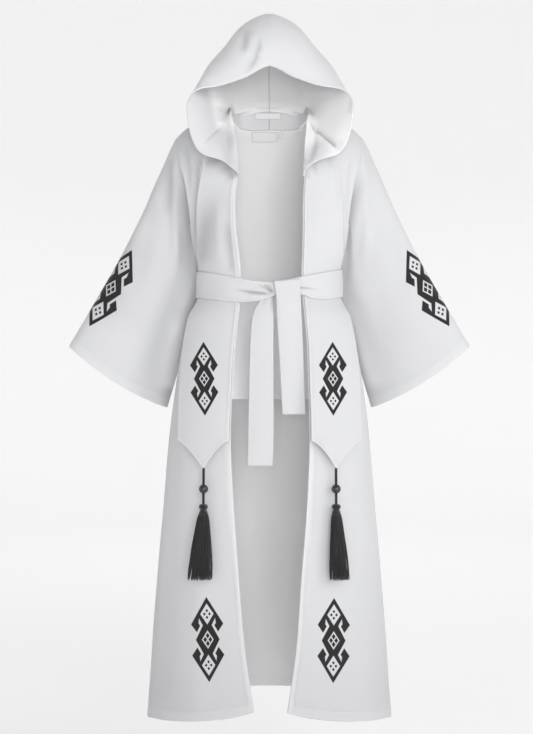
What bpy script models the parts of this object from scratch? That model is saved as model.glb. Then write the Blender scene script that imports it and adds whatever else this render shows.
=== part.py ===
import math

import bmesh
import bpy
import numpy as np
from mathutils import Vector
from mathutils.bvhtree import BVHTree

# A hooded, open-fronted kaftan, filled out as if on a figure, in metres. +Z is up, the front faces -Y,
# and the origin lies between the shoulders at the height of the neck's side points.

# Cloth and seams
WALL = 0.002
LABEL_WALL = 0.001
SEAM_GAP = 0.0003
SLOPE_GAP = 0.0004
UNDERARM_GAP = 0.0018
LAYER = WALL + SEAM_GAP

# Shoulders and neck
SHOULDER_DROP = 0.12
SHOULDER_ROWS = 4
NECK_X = 0.092
SHOULDER_STOLE_OUT = 0.136
NECK_STRIP = 0.004
BACK_NECK_TURN = math.radians(40)
BACK_MIDDLE_SHARE = 0.36
BAND_LEAN = (-0.35, -0.9, 0.3)

# The body's section is a flattened oval, x^ROUND + y^ROUND = 1
ROUND = 2.3
SIDE = math.pi / 2
HANDS = {-1: "left", 1: "right"}

# Hem: its height at the middle of the back, and how far it falls at the sides, eased in below HEM_FROM
HEM_FROM = 1.0
HEM = 1.36
HEM_BACK_FALL = 0.022

# Pieces that end above the hem
STOLE_COLUMNS = slice(1, 8)
STOLE_MOST = 0.93
STOLE_CORNER = 0.72
STOLE_HANG_FROM = 0.44
STOLE_HANG = 0.012
STOLE_CORNER_FALL = 0.006
STOLE_TIP_DROP = 0.062
STOLE_TIP_PLACE = 0.455
STOLE_TIP_POWER = 1.32
LINING_HEM = 0.636
UNDERARM = 0.29

# Belt
BELT_SIDE_DOWN = 0.359
BELT_FRONT_DOWN = 0.385
BELT_SIDE_WIDTH = 0.062
BELT_FRONT_WIDTH = 0.046
BELT_LIFT = 0.0076
BELT_PINCH = 0.45
BELT_PINCH_X = 0.012
BELT_PINCH_REACH = 0.030
BELT_DIP_POWER = 1.5
BELT_COLUMNS = 56
BELT_ROWS = 4

# Sleeves
SLEEVE_ROWS = 11
SLEEVE_CROWDING = 1.15
SLEEVE_WAY = (0.9, 0, -0.43)
SLEEVE_SETTLES = 0.3
SLEEVE_LEAD = 0.10
SLEEVE_FLATNESS = 0.85
CUFF_SAG = 0.014

# Hood
HOOD_ROWS = 16
HOOD_COLUMNS = 14
HOOD_RIGHT_STRETCH = 1.02
HOOD_SEAM_GAP = 0.0014
HOOD_REST = 0.009
HOOD_EASE = 0.012
HOOD_STAND = 0.007
HOOD_STAND_PLACE = 0.03

# Tassels
CORD_WIDTH = 0.0065
CORD_LENGTH = 0.081
CORD_STEPS = 5
BEAD_WIDTH = 0.021
BEAD_PLACE = 0.58
BEAD_CHAMFER = 0.0006
BEAD_ROWS = 8
BEAD_TURNS = 14
HEAD_WIDTH = 0.020
HEAD_LENGTH = 0.022
STRAND_GRID = 6
STRAND_WIDTH = 0.0017
STRAND_INSET = 0.8
STRAND_LENGTH = 0.147
STRAND_STEPS = 4
STRAND_UNEVEN = 0.004
SKIRT_WIDTH = {-1: 0.060, 1: 0.048}
SKIRT_DEPTH = 0.026
SKIRT_SWING = {-1: -0.007, 1: 0.007}
SKIRT_FLARE = 0.8
TASSEL_LEAN = 0.13

CLOTH_ROUGHNESS = 0.85
THREAD_ROUGHNESS = 0.6
BEAD_ROUGHNESS = 0.3
WHITE = (0.86, 0.86, 0.86, 1)
INSIDE = (0.80, 0.80, 0.80, 1)
BLACK = (0.012, 0.012, 0.014, 1)


def table(columns, *rows):
    """A table with named columns, one row for each section."""
    return dict(zip(columns.split(), np.array(rows, float).T))


# One row for each height of the body: half its width, its depth before and behind the side line, and
# how far from the middle the stole's outer edge, the stole's inner edges and the fronts' edges run.
# spread is how much wider than the body the stole hangs.
BODY = table(
    "down half_width front_depth back_depth stole_out left_in right_in left_edge right_edge spread",
    (0.12, 0.250, 0.112, 0.105, 0.158, 0.0785, 0.0850, 0.0740, 0.0820, 0.00),
    (0.17, 0.234, 0.117, 0.110, 0.166, 0.0860, 0.0810, 0.0800, 0.0780, 0.00),
    (0.22, 0.214, 0.120, 0.112, 0.168, 0.0860, 0.0807, 0.0790, 0.0777, 0.02),
    (0.29, 0.1772, 0.121, 0.108, 0.168, 0.0800, 0.0795, 0.0720, 0.0765, 0.06),
    (0.34, 0.166, 0.114, 0.099, 0.163, 0.0745, 0.0780, 0.0670, 0.0750, 0.00),
    (0.39, 0.167, 0.115, 0.099, 0.164, 0.0715, 0.0795, 0.0665, 0.0760, 0.00),
    (0.44, 0.193, 0.128, 0.112, 0.183, 0.0760, 0.0840, 0.0720, 0.0810, 0.04),
    (0.51, 0.2065, 0.137, 0.128, 0.199, 0.0830, 0.0900, 0.0795, 0.0870, 0.07),
    (0.60, 0.2215, 0.148, 0.142, 0.206, 0.0880, 0.0925, 0.0850, 0.0895, 0.08),
    (0.72, 0.237, 0.158, 0.155, 0.2085, 0.0925, 0.0953, 0.0894, 0.0920, 0.08),
    (0.86, 0.248, 0.170, 0.168, 0.212, 0.0870, 0.0900, 0.0830, 0.0865, 0.06),
    (1.04, 0.264, 0.183, 0.180, 0.220, 0.0760, 0.0780, 0.0700, 0.0725, 0.04),
    (1.20, 0.277, 0.193, 0.190, 0.226, 0.0640, 0.0680, 0.0570, 0.0615, 0.02),
    (1.36, 0.2885, 0.203, 0.200, 0.230, 0.0450, 0.0500, 0.0360, 0.0410, 0.00),
)
LEVELS = (
    0.12, 0.16, 0.20, 0.24, 0.27, UNDERARM, 0.32, 0.355, 0.39, 0.425, 0.47, 0.52, 0.58, LINING_HEM,
    0.68, 0.72, 0.78, 0.86, 0.95, 1.04, 1.13, 1.21, 1.29, HEM,
)

# The shoulder seam's height by its distance from the middle, and the armhole's place by its height
SHOULDER = table("x z", (0, 0.060), (0.05, 0.053), (0.092, 0.034), (0.15, 0.021), (0.192, 0.010),
                 (0.2177, -0.012))
ARMHOLE = table("down x", (0.012, 0.2177), (0.077, 0.212), (0.12, 0.1990), (0.16, 0.1917), (0.21, 0.1853),
                (0.256, 0.1813), (UNDERARM, 0.1772))

# How far a front's hem falls below HEM, by its distance from the middle as a share of the half width
FRONT_HEM = table("share fall", (0.12, -0.0295), (0.16, -0.0260), (0.24, -0.0190), (0.32, -0.0138),
                  (0.40, -0.0097), (0.52, -0.0044), (0.64, -0.0002), (0.76, 0.0038), (0.88, 0.0086),
                  (0.94, 0.0118), (1.00, 0.0220))

# The neck band's width by its place, from a front edge over the shoulder to the middle of the back
BAND = table("place width", (0, 0.008), (0.5, 0.018), (0.85, 0.041), (1, 0.044))

# One row for each section of a sleeve: its outer fold, its underarm fold and half its depth
SLEEVE = table(
    "along top_x top_down low_x low_y low_down depth",
    (0.00, 0.2177, 0.012, 0.178, 0.000, 0.290, 0.074),
    (0.25, 0.282, 0.150, 0.173, 0.052, 0.385, 0.062),
    (0.50, 0.346, 0.284, 0.197, 0.070, 0.475, 0.058),
    (0.75, 0.411, 0.398, 0.221, 0.062, 0.565, 0.054),
    (1.00, 0.475, 0.508, 0.247, 0.045, 0.654, 0.050),
)

# One row for each long fold in a sleeve: the sleeve, how far round it lies from the outer fold (1 is the
# underarm on the front, 2 is the outer fold again, reached by the back), its width and its depth
SLEEVE_FOLDS = table(
    "hand place width depth",
    (-1, 0.66, 0.09, 0.010),
    (-1, 1.42, 0.10, 0.008),
    (1, 0.77, 0.09, 0.009),
    (1, 1.36, 0.10, 0.008),
)

# One row for each rib of half the hood, from just above the neck seam to the centre seam on top. A rib
# starts at the opening's edge, is drawn towards the side and nape points, and ends on the centre seam.
HOOD = table(
    "place edge_x edge_y edge_z side_x side_y side_z nape_x nape_z seam_y seam_z",
    (0.06, 0.083, -0.134, -0.104, 0.122, -0.085, 0.000, 0.126, 0.072, 0.079, 0.072),
    (0.14, 0.108, -0.146, -0.087, 0.118, -0.090, 0.010, 0.126, 0.085, 0.084, 0.085),
    (0.24, 0.151, -0.150, -0.073, 0.108, -0.090, 0.016, 0.126, 0.098, 0.091, 0.098),
    (0.32, 0.169, -0.150, -0.054, 0.106, -0.085, 0.024, 0.124, 0.112, 0.098, 0.112),
    (0.42, 0.184, -0.148, -0.007, 0.112, -0.060, 0.045, 0.120, 0.132, 0.108, 0.132),
    (0.52, 0.188, -0.146, 0.036, 0.132, -0.050, 0.076, 0.120, 0.152, 0.115, 0.152),
    (0.60, 0.179, -0.142, 0.063, 0.165, -0.050, 0.110, 0.118, 0.170, 0.119, 0.170),
    (0.68, 0.158, -0.138, 0.078, 0.174, -0.080, 0.168, 0.112, 0.192, 0.121, 0.190),
    (0.80, 0.1125, -0.132, 0.087, 0.135, -0.100, 0.230, 0.100, 0.236, 0.120, 0.215),
    (0.91, 0.056, -0.126, 0.107, 0.075, -0.118, 0.288, 0.070, 0.285, 0.116, 0.236),
    (1.00, 0.000, -0.120, 0.1337, 0.000, -0.120, 0.310, 0.000, 0.318, 0.112, 0.246),
)

# The belt's tails: the left and right edges and the depth of each by height
LEFT_TAIL = table(
    "down left right y",
    (0.385, -0.012, 0.008, -0.1199),
    (0.402, -0.018, 0.009, -0.1207),
    (0.414, -0.026, 0.009, -0.1215),
    (0.425, -0.032, 0.008, -0.1240),
    (0.450, -0.0395, 0.008, -0.1290),
    (0.510, -0.0435, 0.008, -0.1350),
    (0.700, -0.048, 0.0085, -0.1430),
    (0.783, -0.0495, 0.006, -0.1450),
)
RIGHT_TAIL = table(
    "down left right y",
    (0.360, 0.0106, 0.0690, -0.1265),
    (0.400, 0.0165, 0.0705, -0.1290),
    (0.430, 0.0175, 0.0720, -0.1320),
    (0.510, 0.0220, 0.0760, -0.1390),
    (0.665, 0.0305, 0.0815, -0.1460),
)
TAIL_COLUMNS = 4
RIGHT_TAIL_FOLD = 0.0050
RIGHT_TAIL_BACK = 0.012
RIGHT_TAIL_INNER_DOWN = 0.395

# The tassel's head above its underside: how wide and how far down it is, as shares of its own size
TASSEL_HEAD = table("wide down", (0.95, 0.80), (0.62, 0.62), (0.98, 0.45), (0.92, 0.15), (0.55, 0))

# Labels on the inside of the back: the left edge, width, top and height of each
NECK_LABEL = (-0.035, 0.063, 0.0555, 0.0150)
BACK_LABEL = (-0.042, 0.061, 0.0120, 0.0220)
SIZE_TAB = (0.0235, 0.0075, 0.0120, 0.0140)


def smooth(at, places, values):
    """The value at a place, on a smooth line through the table's values that never overshoots them."""
    steps = np.diff(places)
    rises = np.diff(values) / steps
    slopes = np.zeros(len(places))
    level = rises[:-1] * rises[1:] <= 0
    steep = np.where(level, 1, rises[:-1] + rises[1:])
    slopes[1:-1] = np.where(level, 0, 2 * rises[:-1] * rises[1:] / steep)
    slopes[0] = rises[0]
    slopes[-1] = rises[-1]
    at = min(max(at, places[0]), places[-1])
    i = min(int(np.searchsorted(places, at, side="right")) - 1, len(steps) - 1)
    t = (at - places[i]) / steps[i]
    start = (1 + 2 * t) * (1 - t) ** 2 * values[i] + t * (1 - t) ** 2 * steps[i] * slopes[i]
    end = t * t * (3 - 2 * t) * values[i + 1] + t * t * (t - 1) * steps[i] * slopes[i + 1]
    return float(start + end)


def mix(a, b, share):
    return a + (b - a) * share


def eased(t):
    t = min(max(t, 0), 1)
    return t * t * (3 - 2 * t)


def body(name, down):
    return smooth(down, BODY["down"], BODY[name])


def turn_at(across, half_width):
    """How far round the oval a point lies that is this far across."""
    return math.asin(min(1, across / half_width) ** (ROUND / 2))


class Row:
    """A row of the body's points: over the shoulder first, then level by level down to the hem."""

    def __init__(self, index):
        self.over = SIDE * min(1, index / SHOULDER_ROWS)
        self.down = LEVELS[max(0, index - SHOULDER_ROWS)]

    def line(self, name, at_shoulder):
        return mix(at_shoulder, body(name, self.down), 1 - math.cos(self.over))

    def side_turn(self):
        if self.down >= UNDERARM:
            return SIDE
        tip = SHOULDER["z"][-1]
        down = -mix(tip, -SHOULDER_DROP, 1 - math.cos(self.over)) if self.over < SIDE else self.down
        return turn_at(smooth(down, ARMHOLE["down"], ARMHOLE["x"]), body("half_width", self.down))


ROWS = [Row(i) for i in range(SHOULDER_ROWS + len(LEVELS))]
UNDERARM_ROW = SHOULDER_ROWS + LEVELS.index(UNDERARM)
LINING_ROW = SHOULDER_ROWS + LEVELS.index(LINING_HEM)
CORNER_ROW = SHOULDER_ROWS + LEVELS.index(STOLE_CORNER)


def body_point(face, side, row, turn, over=None, spread=0, down=None):
    """A point on the front (face -1) or the back (face 1), the turn being counted from the middle."""
    over = row.over if over is None else over
    down = row.down if down is None else down
    half_width = body("half_width", down) * (1 + spread)
    depth = body("front_depth" if face < 0 else "back_depth", down)
    across = half_width * math.sin(turn) ** (2 / ROUND)
    deep = depth * max(0, math.cos(turn)) ** (2 / ROUND)
    top = smooth(across, SHOULDER["x"], SHOULDER["z"])
    if over < SIDE:
        z = mix(top, -SHOULDER_DROP, 1 - math.cos(over))
    else:
        share = across / half_width
        front_fall = smooth(share, FRONT_HEM["share"], FRONT_HEM["fall"])
        fall = front_fall if face < 0 else HEM_BACK_FALL * share**2
        z = -down - fall * eased((down - HEM_FROM) / (HEM - HEM_FROM))
    apart = SEAM_GAP / 2 + SLOPE_GAP * math.cos(over)
    return np.array((side * across, face * (deep * math.sin(over) + apart), z))


def oval_depth(across, down):
    """The depth of the body's section this far across, as a share of its depth in the middle."""
    return max(0, 1 - (abs(across) / body("half_width", down)) ** ROUND) ** (1 / ROUND)


def sheet(points, closed=False):
    """A grid of points as a mesh of triangles, joined round into a tube where it is closed."""
    rows, columns = points.shape[:2]
    shape = bmesh.new()
    made = [[shape.verts.new(point) for point in row] for row in points]
    for i in range(rows - 1):
        for j in range(columns if closed else columns - 1):
            k = (j + 1) % columns
            corners = (made[i][j], made[i + 1][j], made[i + 1][k], made[i][k])
            shape.faces.new(corners[:3])
            shape.faces.new((corners[0], corners[2], corners[3]))
    shape.normal_update()
    return shape


def moved_out(points, distance, outward=(0, -1, 0)):
    """The grid again, moved square to itself towards the outward direction."""
    shape = sheet(points)
    square = np.array([vert.normal for vert in shape.verts]).reshape(points.shape)
    shape.free()
    towards = np.sign((square * outward).sum())
    return points + square * towards * distance


def stole_turns(side, row, half_width):
    """The turns of a stole's columns on a body this wide, with the middle one on its tip."""
    inner_x = row.line(HANDS[side] + "_in", NECK_X + NECK_STRIP)
    outer_x = row.line("stole_out", SHOULDER_STOLE_OUT)
    tip_x = mix(inner_x, outer_x, STOLE_TIP_PLACE)
    inner, tip, outer = [turn_at(x, half_width) for x in (inner_x, tip_x, outer_x)]
    return [mix(inner, tip, i / 3) for i in range(3)] + [mix(tip, outer, i / 3) for i in range(4)]


def front_columns(side, row):
    """The turns of a front's columns, from its edge to the side, with one on each edge of the stole."""
    half_width = body("half_width", row.down)
    side_turn = row.side_turn()
    edge = turn_at(row.line(HANDS[side] + "_edge", NECK_X), half_width)
    under = stole_turns(side, row, half_width)
    room = min(1, (side_turn - under[0]) * STOLE_MOST / (under[-1] - under[0]))
    under = [mix(under[0], turn, room) for turn in under]
    rest = [mix(under[-1], side_turn, i / 3) for i in range(1, 4)]
    return [edge] + under + rest


def front_points(side):
    return np.array([[body_point(-1, side, row, turn) for turn in front_columns(side, row)] for row in ROWS])


def stole_points(side):
    """The overlay that hangs from the neck over a front, standing off the skirt, with its pointed end."""
    front = front_points(side)
    lifted = moved_out(front, LAYER)[:, STOLE_COLUMNS]
    plain = front[:, STOLE_COLUMNS]

    def hung(index, down):
        row = ROWS[index]
        spread = body("spread", down) * eased((row.over / SIDE) ** 2)
        turns = stole_turns(side, row, body("half_width", row.down) * (1 + spread))
        points = np.array([body_point(-1, side, row, turn, spread=spread, down=down) for turn in turns])
        share = (down - STOLE_HANG_FROM) / (STOLE_CORNER - STOLE_HANG_FROM)
        return lifted[index] + points - plain[index] - (0, STOLE_HANG * eased(share), 0)

    rows = [hung(index, ROWS[index].down) for index in range(CORNER_ROW + 1)]
    columns = len(rows[0])
    for share in (0.5, 1.0):
        end = []
        for j in range(columns):
            near = 1 - abs(2 * j / (columns - 1) - 1)
            fall = STOLE_CORNER_FALL + STOLE_TIP_DROP * near**STOLE_TIP_POWER
            end.append(hung(CORNER_ROW, STOLE_CORNER + fall * share)[j])
        rows.append(end)
    return np.array(rows)


def back_turns(row):
    """The turns of the back's columns on one side, from the middle out, with one on the neck's side point."""
    side_turn = row.side_turn()
    if row.over < SIDE:
        neck = turn_at(NECK_X, body("half_width", row.down))
    else:
        neck = side_turn * BACK_MIDDLE_SHARE
    return [mix(0, neck, i / 3) for i in range(3)] + [mix(neck, side_turn, i / 4) for i in range(5)]


def back_point(side, row, turn):
    across = body("half_width", row.down) * math.sin(turn) ** (2 / ROUND)
    start = BACK_NECK_TURN * math.sqrt(max(0, 1 - (across / NECK_X) ** 4))
    over = mix(start, SIDE, row.over / SIDE)
    return body_point(1, side, row, turn, over=over)


def back_points():
    rows = []
    for row in ROWS:
        turns = back_turns(row)
        left = [back_point(-1, row, turn) for turn in reversed(turns[1:])]
        rows.append(left + [back_point(1, row, turn) for turn in turns])
    return np.array(rows)


def lining_points():
    """The half lining, inside the back down to its own hem."""
    return moved_out(back_points(), LAYER)[: LINING_ROW + 1, 1:-1]


def neckline(side):
    """The neck edge from the foot of the front's neck, over the shoulder, to the middle of the back."""
    fronts = front_points(side)[: SHOULDER_ROWS + 1, 0][::-1]
    backs = [back_point(side, ROWS[0], turn) for turn in reversed(back_turns(ROWS[0])[:3])]
    return np.concatenate([fronts[:-1], [(side * NECK_X, 0, SHOULDER["z"][2])], backs])


def band_edge(side, lift, beyond=0):
    """The neckline, or with lift 1 the hood seam above it, or a line beyond that."""
    line = neckline(side)
    edge = []
    for index, point in enumerate(line):
        share = index / (len(line) - 1)
        width = smooth(share, BAND["place"], BAND["width"])
        rise = eased(share * 2)
        inward = np.array((side * BAND_LEAN[0], BAND_LEAN[1], BAND_LEAN[2]))
        towards = mix(inward, np.array((0, 0, 1)), rise)
        towards /= np.linalg.norm(towards)
        edge.append(point + towards * (mix(SEAM_GAP + WALL / 2, width, lift) + beyond))
    return np.array(edge)


def band_points():
    rows = []
    for lift in (0, 0.5, 1):
        left = band_edge(-1, lift)
        right = band_edge(1, lift)
        rows.append(np.concatenate([left[:-1], right[::-1]]))
    return np.array(rows)


def clear_of_body(point):
    """The point again, pushed out to where the hood rests on the stole, the fronts and the back."""
    x, y, z = point
    share = min(1, max(0, (SHOULDER["z"][2] - z) / SHOULDER_DROP))
    edge = mix(NECK_X, body("left_edge", SHOULDER_DROP), share)
    outside = eased((abs(x) - edge) / HOOD_EASE + 1)
    top = smooth(abs(x), SHOULDER["x"], SHOULDER["z"]) + HOOD_REST
    down = max(SHOULDER_DROP, -z)
    depth = body("front_depth" if y < 0 else "back_depth", down)
    depth *= oval_depth(x, down)
    high = max(0, z + SHOULDER_DROP) / (top + SHOULDER_DROP)
    reach = math.hypot(y / (depth + HOOD_REST), high)
    push = mix(1, max(1, 1 / reach), outside)
    return np.array((x, y * push, z if high == 0 else (z + SHOULDER_DROP) * push - SHOULDER_DROP))


def hood_points(side):
    """Half the hood, rib by rib: each rib is a cubic curve from the opening's edge to the centre seam."""
    seams = [band_edge(side, 1, beyond=beyond) for beyond in (HOOD_SEAM_GAP, HOOD_STAND)]
    along = np.linspace(0, 1, len(seams[0]))
    places = np.concatenate([[0, HOOD_STAND_PLACE], HOOD["place"], [2 - HOOD["place"][-2]]])
    shares = [i / HOOD_COLUMNS for i in range(HOOD_COLUMNS + 1)]
    stretch = HOOD_RIGHT_STRETCH if side > 0 else 1
    ribs = [[[np.interp(share, along, seam[:, axis]) for axis in range(3)] for share in shares]
            for seam in seams]
    for i in range(len(HOOD["place"])):
        row = {name: values[i] for name, values in HOOD.items()}
        edge = np.array((row["edge_x"], row["edge_y"], row["edge_z"]))
        middle = np.array((row["side_x"], row["side_y"], row["side_z"]))
        nape = np.array((row["nape_x"], row["seam_y"], row["nape_z"]))
        end = np.array((0, row["seam_y"], row["seam_z"]))
        rib = []
        for t in shares:
            point = edge * (1 - t) ** 3 + end * t**3
            point += 3 * t * (1 - t) * (middle * (1 - t) + nape * t)
            point[0] *= side * stretch
            rib.append(clear_of_body(point))
        ribs.append(rib)
    mirrored = np.array(ribs[-2]) * (-1, 1, 1)
    ribs = np.array(ribs + [mirrored])
    ribs[:, :, 0] += side * (SEAM_GAP / 2 + SLOPE_GAP)
    ribs[:2, :, 0] -= side * (SEAM_GAP / 2 + SLOPE_GAP) * (1 - np.linspace(0, 1, len(shares)) ** 4)
    grid = []
    for place in [0, HOOD_STAND_PLACE] + [i / HOOD_ROWS for i in range(1, HOOD_ROWS + 1)]:
        across = [[smooth(place, places, line[:, axis]) for axis in range(3)] for line in ribs.swapaxes(0, 1)]
        grid.append(across)
    return np.array(grid)


def armhole(side):
    """The armhole, from the shoulder down the front and up the back, and the way the cloth leaves it."""
    fronts = front_points(side)[: UNDERARM_ROW + 1]
    backs = back_points()[: UNDERARM_ROW + 1]
    if side < 0:
        backs = backs[:, ::-1]
    ring = []
    ways = []
    out = np.array(SLEEVE_WAY) * (side, 1, 1)
    order = [(fronts[i, -1], fronts[i, -2], i) for i in range(1, UNDERARM_ROW)]
    order = [(fronts[0, -1] * (1, 0, 1), fronts[0, -2] * (1, 0, 1), 0)] + order
    order += [(fronts[UNDERARM_ROW, -1] * (1, 0, 1), None, UNDERARM_ROW)]
    order += [(backs[i, -1], backs[i, -2], i) for i in range(UNDERARM_ROW - 1, 0, -1)]
    for point, before, i in order:
        near = (i / UNDERARM_ROW) ** 2
        way = out if before is None else mix((point - before) / np.linalg.norm(point - before), out, near)
        ring.append(point)
        ways.append(way / np.linalg.norm(way))
    return np.array(ring), np.array(ways)


def sleeve_fold(side, angle, along):
    """How deep the sleeve's long folds are here, deepest halfway down and gone at the cuff."""
    depth = 0
    for i, hand in enumerate(SLEEVE_FOLDS["hand"]):
        if hand == side:
            off = (angle / math.pi - SLEEVE_FOLDS["place"][i]) / SLEEVE_FOLDS["width"][i]
            depth += SLEEVE_FOLDS["depth"][i] * math.exp(-off * off)
    return depth * math.sin(math.pi * along)


def sleeve_points(side):
    ring, ways = armhole(side)
    count = len(ring)
    rows = []
    for i in range(SLEEVE_ROWS + 1):
        along = (i / SLEEVE_ROWS) ** SLEEVE_CROWDING
        section = {name: smooth(along, SLEEVE["along"], values) for name, values in SLEEVE.items()}
        top = np.array((side * section["top_x"], 0, -section["top_down"]))
        low = np.array((side * section["low_x"], section["low_y"], -section["low_down"]))
        settled = eased(along / SLEEVE_SETTLES)
        row = []
        for j in range(count):
            angle = 2 * math.pi * j / count
            depth = section["depth"] - sleeve_fold(side, angle, along)
            deep = -math.copysign(abs(math.sin(angle)) ** SLEEVE_FLATNESS, math.sin(angle)) * depth
            flat = mix(top, low, (1 - math.cos(angle)) / 2)
            sag = CUFF_SAG * math.sin(angle) ** 2 * along**3
            shaped = flat + np.array((0, deep, -sag))
            gap = SEAM_GAP + UNDERARM_GAP * math.sin(angle / 2) ** 2
            led = ring[j] + ways[j] * (gap + along * SLEEVE_LEAD)
            row.append(mix(led, shaped, settled))
        rows.append(row)
    return np.array(rows)


def belt_points():
    """The belt's turn round the waist, dipping to the front and pinched where it is tied."""
    rows = []
    for i in range(BELT_ROWS + 1):
        row = []
        for j in range(BELT_COLUMNS):
            angle = 2 * math.pi * j / BELT_COLUMNS
            front = max(0, -math.cos(angle)) ** BELT_DIP_POWER
            width = mix(BELT_SIDE_WIDTH, BELT_FRONT_WIDTH, front)
            nominal = math.sin(angle) * body("half_width", BELT_SIDE_DOWN)
            pinch = BELT_PINCH * math.exp(-(((nominal - BELT_PINCH_X) / BELT_PINCH_REACH) ** 2)) * (front > 0)
            down = mix(BELT_SIDE_DOWN, BELT_FRONT_DOWN, front) + width * (1 - pinch) * (i / BELT_ROWS - 0.5)
            depth = body("front_depth" if front > 0 else "back_depth", down) + BELT_LIFT
            half_width = body("half_width", down) + BELT_LIFT
            across = math.copysign(abs(math.sin(angle)) ** (2 / ROUND), math.sin(angle)) * half_width
            deep = math.copysign(abs(math.cos(angle)) ** (2 / ROUND), math.cos(angle)) * depth
            row.append((across, deep, -down))
        rows.append(row)
    return np.array(rows)


def tail_points(tail, steps):
    """A belt tail that hangs down the front, curved across as the belt is."""
    downs = [mix(tail["down"][0], tail["down"][-1], i / steps) for i in range(steps + 1)]
    rows = []
    for down in downs:
        edges = {name: smooth(down, tail["down"], tail[name]) for name in ("left", "right", "y")}
        shares = [i / TAIL_COLUMNS for i in range(TAIL_COLUMNS + 1)]
        across = [mix(edges["left"], edges["right"], share) for share in shares]
        rows.append([(x, edges["y"] * oval_depth(x, BELT_FRONT_DOWN), -down) for x in across])
    return np.array(rows)


def right_tail_points():
    """The tail that folds over the belt's top edge, from behind the belt to the front and down."""
    hanging = tail_points(RIGHT_TAIL, 10)
    first = hanging[0]
    behind = []
    for share in (0, 1):
        down = mix(RIGHT_TAIL_INNER_DOWN, RIGHT_TAIL["down"][0], share)
        behind.append(first * (1, 1, 0) + np.array((0, RIGHT_TAIL_BACK, -down)))
    over = []
    for turn in (0.25, 0.5, 0.75):
        angle = math.pi * turn
        back = RIGHT_TAIL_BACK * (1 + math.cos(angle)) / 2
        rise = RIGHT_TAIL_FOLD * math.sin(angle)
        over.append(first + np.array((0, back, rise)))
    return np.concatenate([behind, over, hanging])


def material(name, colour, roughness):
    made = bpy.data.materials.new(name)
    made.use_nodes = True
    shader = made.node_tree.nodes["Principled BSDF"]
    shader.inputs["Base Color"].default_value = colour
    shader.inputs["Roughness"].default_value = roughness
    shader.inputs["Metallic"].default_value = 0
    return made


def place_object(name, mesh, colour, roughness):
    item = bpy.data.objects.new(name, mesh)
    item.data.materials.append(material(name, colour, roughness))
    item.data.shade_smooth()
    bpy.data.collections["kaftan"].objects.link(item)
    return item


def cloth(name, points, wall=WALL, closed=False, colour=WHITE):
    """A grid of points made into a sheet of cloth with an even wall; closed joins its sides into a tube."""
    shape = sheet(points, closed)
    mesh = bpy.data.meshes.new(name)
    shape.to_mesh(mesh)
    shape.free()
    item = place_object(name, mesh, colour, CLOTH_ROUGHNESS)
    thick = item.modifiers.new("wall", "SOLIDIFY")
    thick.thickness = wall
    thick.offset = 0
    return item


def patch_points(points, place):
    """A label that lies on the inside of a sheet, from its left edge, width, top and height as seen."""
    shape = sheet(points)
    surface = BVHTree.FromBMesh(shape)
    left, width, top, height = place
    rows = []
    for i in range(3):
        from_front = [(left + width * j / 5, 0, top - height * i / 2) for j in range(6)]
        rows.append([surface.ray_cast(Vector(start), Vector((0, 1, 0)))[0] for start in from_front])
    shape.free()
    return moved_out(np.array(rows), (WALL + LABEL_WALL) / 2 + SEAM_GAP)


def tassel_axis(side):
    """Where the stole's tip ends, and the direction in which its tassel lies on the skirt."""
    points = stole_points(side)
    tip = points[-1, np.argmin(points[-1, :, 2])]
    direction = np.array((0, -TASSEL_LEAN, -1.0))
    return tip, direction / np.linalg.norm(direction)


def cord(name, start, end):
    line = bpy.data.curves.new(name, "CURVE")
    line.dimensions = "3D"
    line.bevel_depth = CORD_WIDTH / 2
    line.bevel_resolution = 2
    line.use_fill_caps = True
    spline = line.splines.new("POLY")
    spline.points.add(CORD_STEPS)
    for i in range(CORD_STEPS + 1):
        spline.points[i].co = (*mix(start, end, i / CORD_STEPS), 1)
    item = bpy.data.objects.new(name, line)
    line.materials.append(material(name, BLACK, THREAD_ROUGHNESS))
    bpy.data.collections["kaftan"].objects.link(item)


def bead(name, centre):
    """A round bead, turned, with a bore that the cord runs through."""
    bore = CORD_WIDTH / 2 + 2 * SEAM_GAP
    radius = BEAD_WIDTH / 2
    low = math.asin(bore / radius)
    inside = radius * math.cos(low) - BEAD_CHAMFER
    profile = [(bore, inside), (bore, -inside)]
    for i in range(BEAD_ROWS + 1):
        angle = mix(math.pi - low, low, i / BEAD_ROWS)
        profile.append((radius * math.sin(angle), radius * math.cos(angle)))
    shape = bmesh.new()
    turns = [2 * math.pi * i / BEAD_TURNS for i in range(BEAD_TURNS)]
    rings = [[shape.verts.new((r * math.cos(t), r * math.sin(t), z)) for t in turns] for r, z in profile]
    for i in range(len(rings)):
        upper = rings[i]
        lower = rings[(i + 1) % len(rings)]
        for j in range(BEAD_TURNS):
            k = (j + 1) % BEAD_TURNS
            shape.faces.new((upper[j], lower[j], lower[k], upper[k]))
    bmesh.ops.recalc_face_normals(shape, faces=shape.faces)
    mesh = bpy.data.meshes.new(name)
    shape.to_mesh(mesh)
    shape.free()
    item = place_object(name, mesh, BLACK, BEAD_ROUGHNESS)
    item.location = centre
    item.rotation_euler = (-math.atan(TASSEL_LEAN), 0, 0)


def disc_point(i, j, radius):
    """A square grid drawn onto a disc, which leaves its cells nearly even."""
    u = 2 * i / STRAND_GRID - 1
    v = 2 * j / STRAND_GRID - 1
    return u * math.sqrt(1 - v * v / 2) * radius, v * math.sqrt(1 - u * u / 2) * radius


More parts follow.
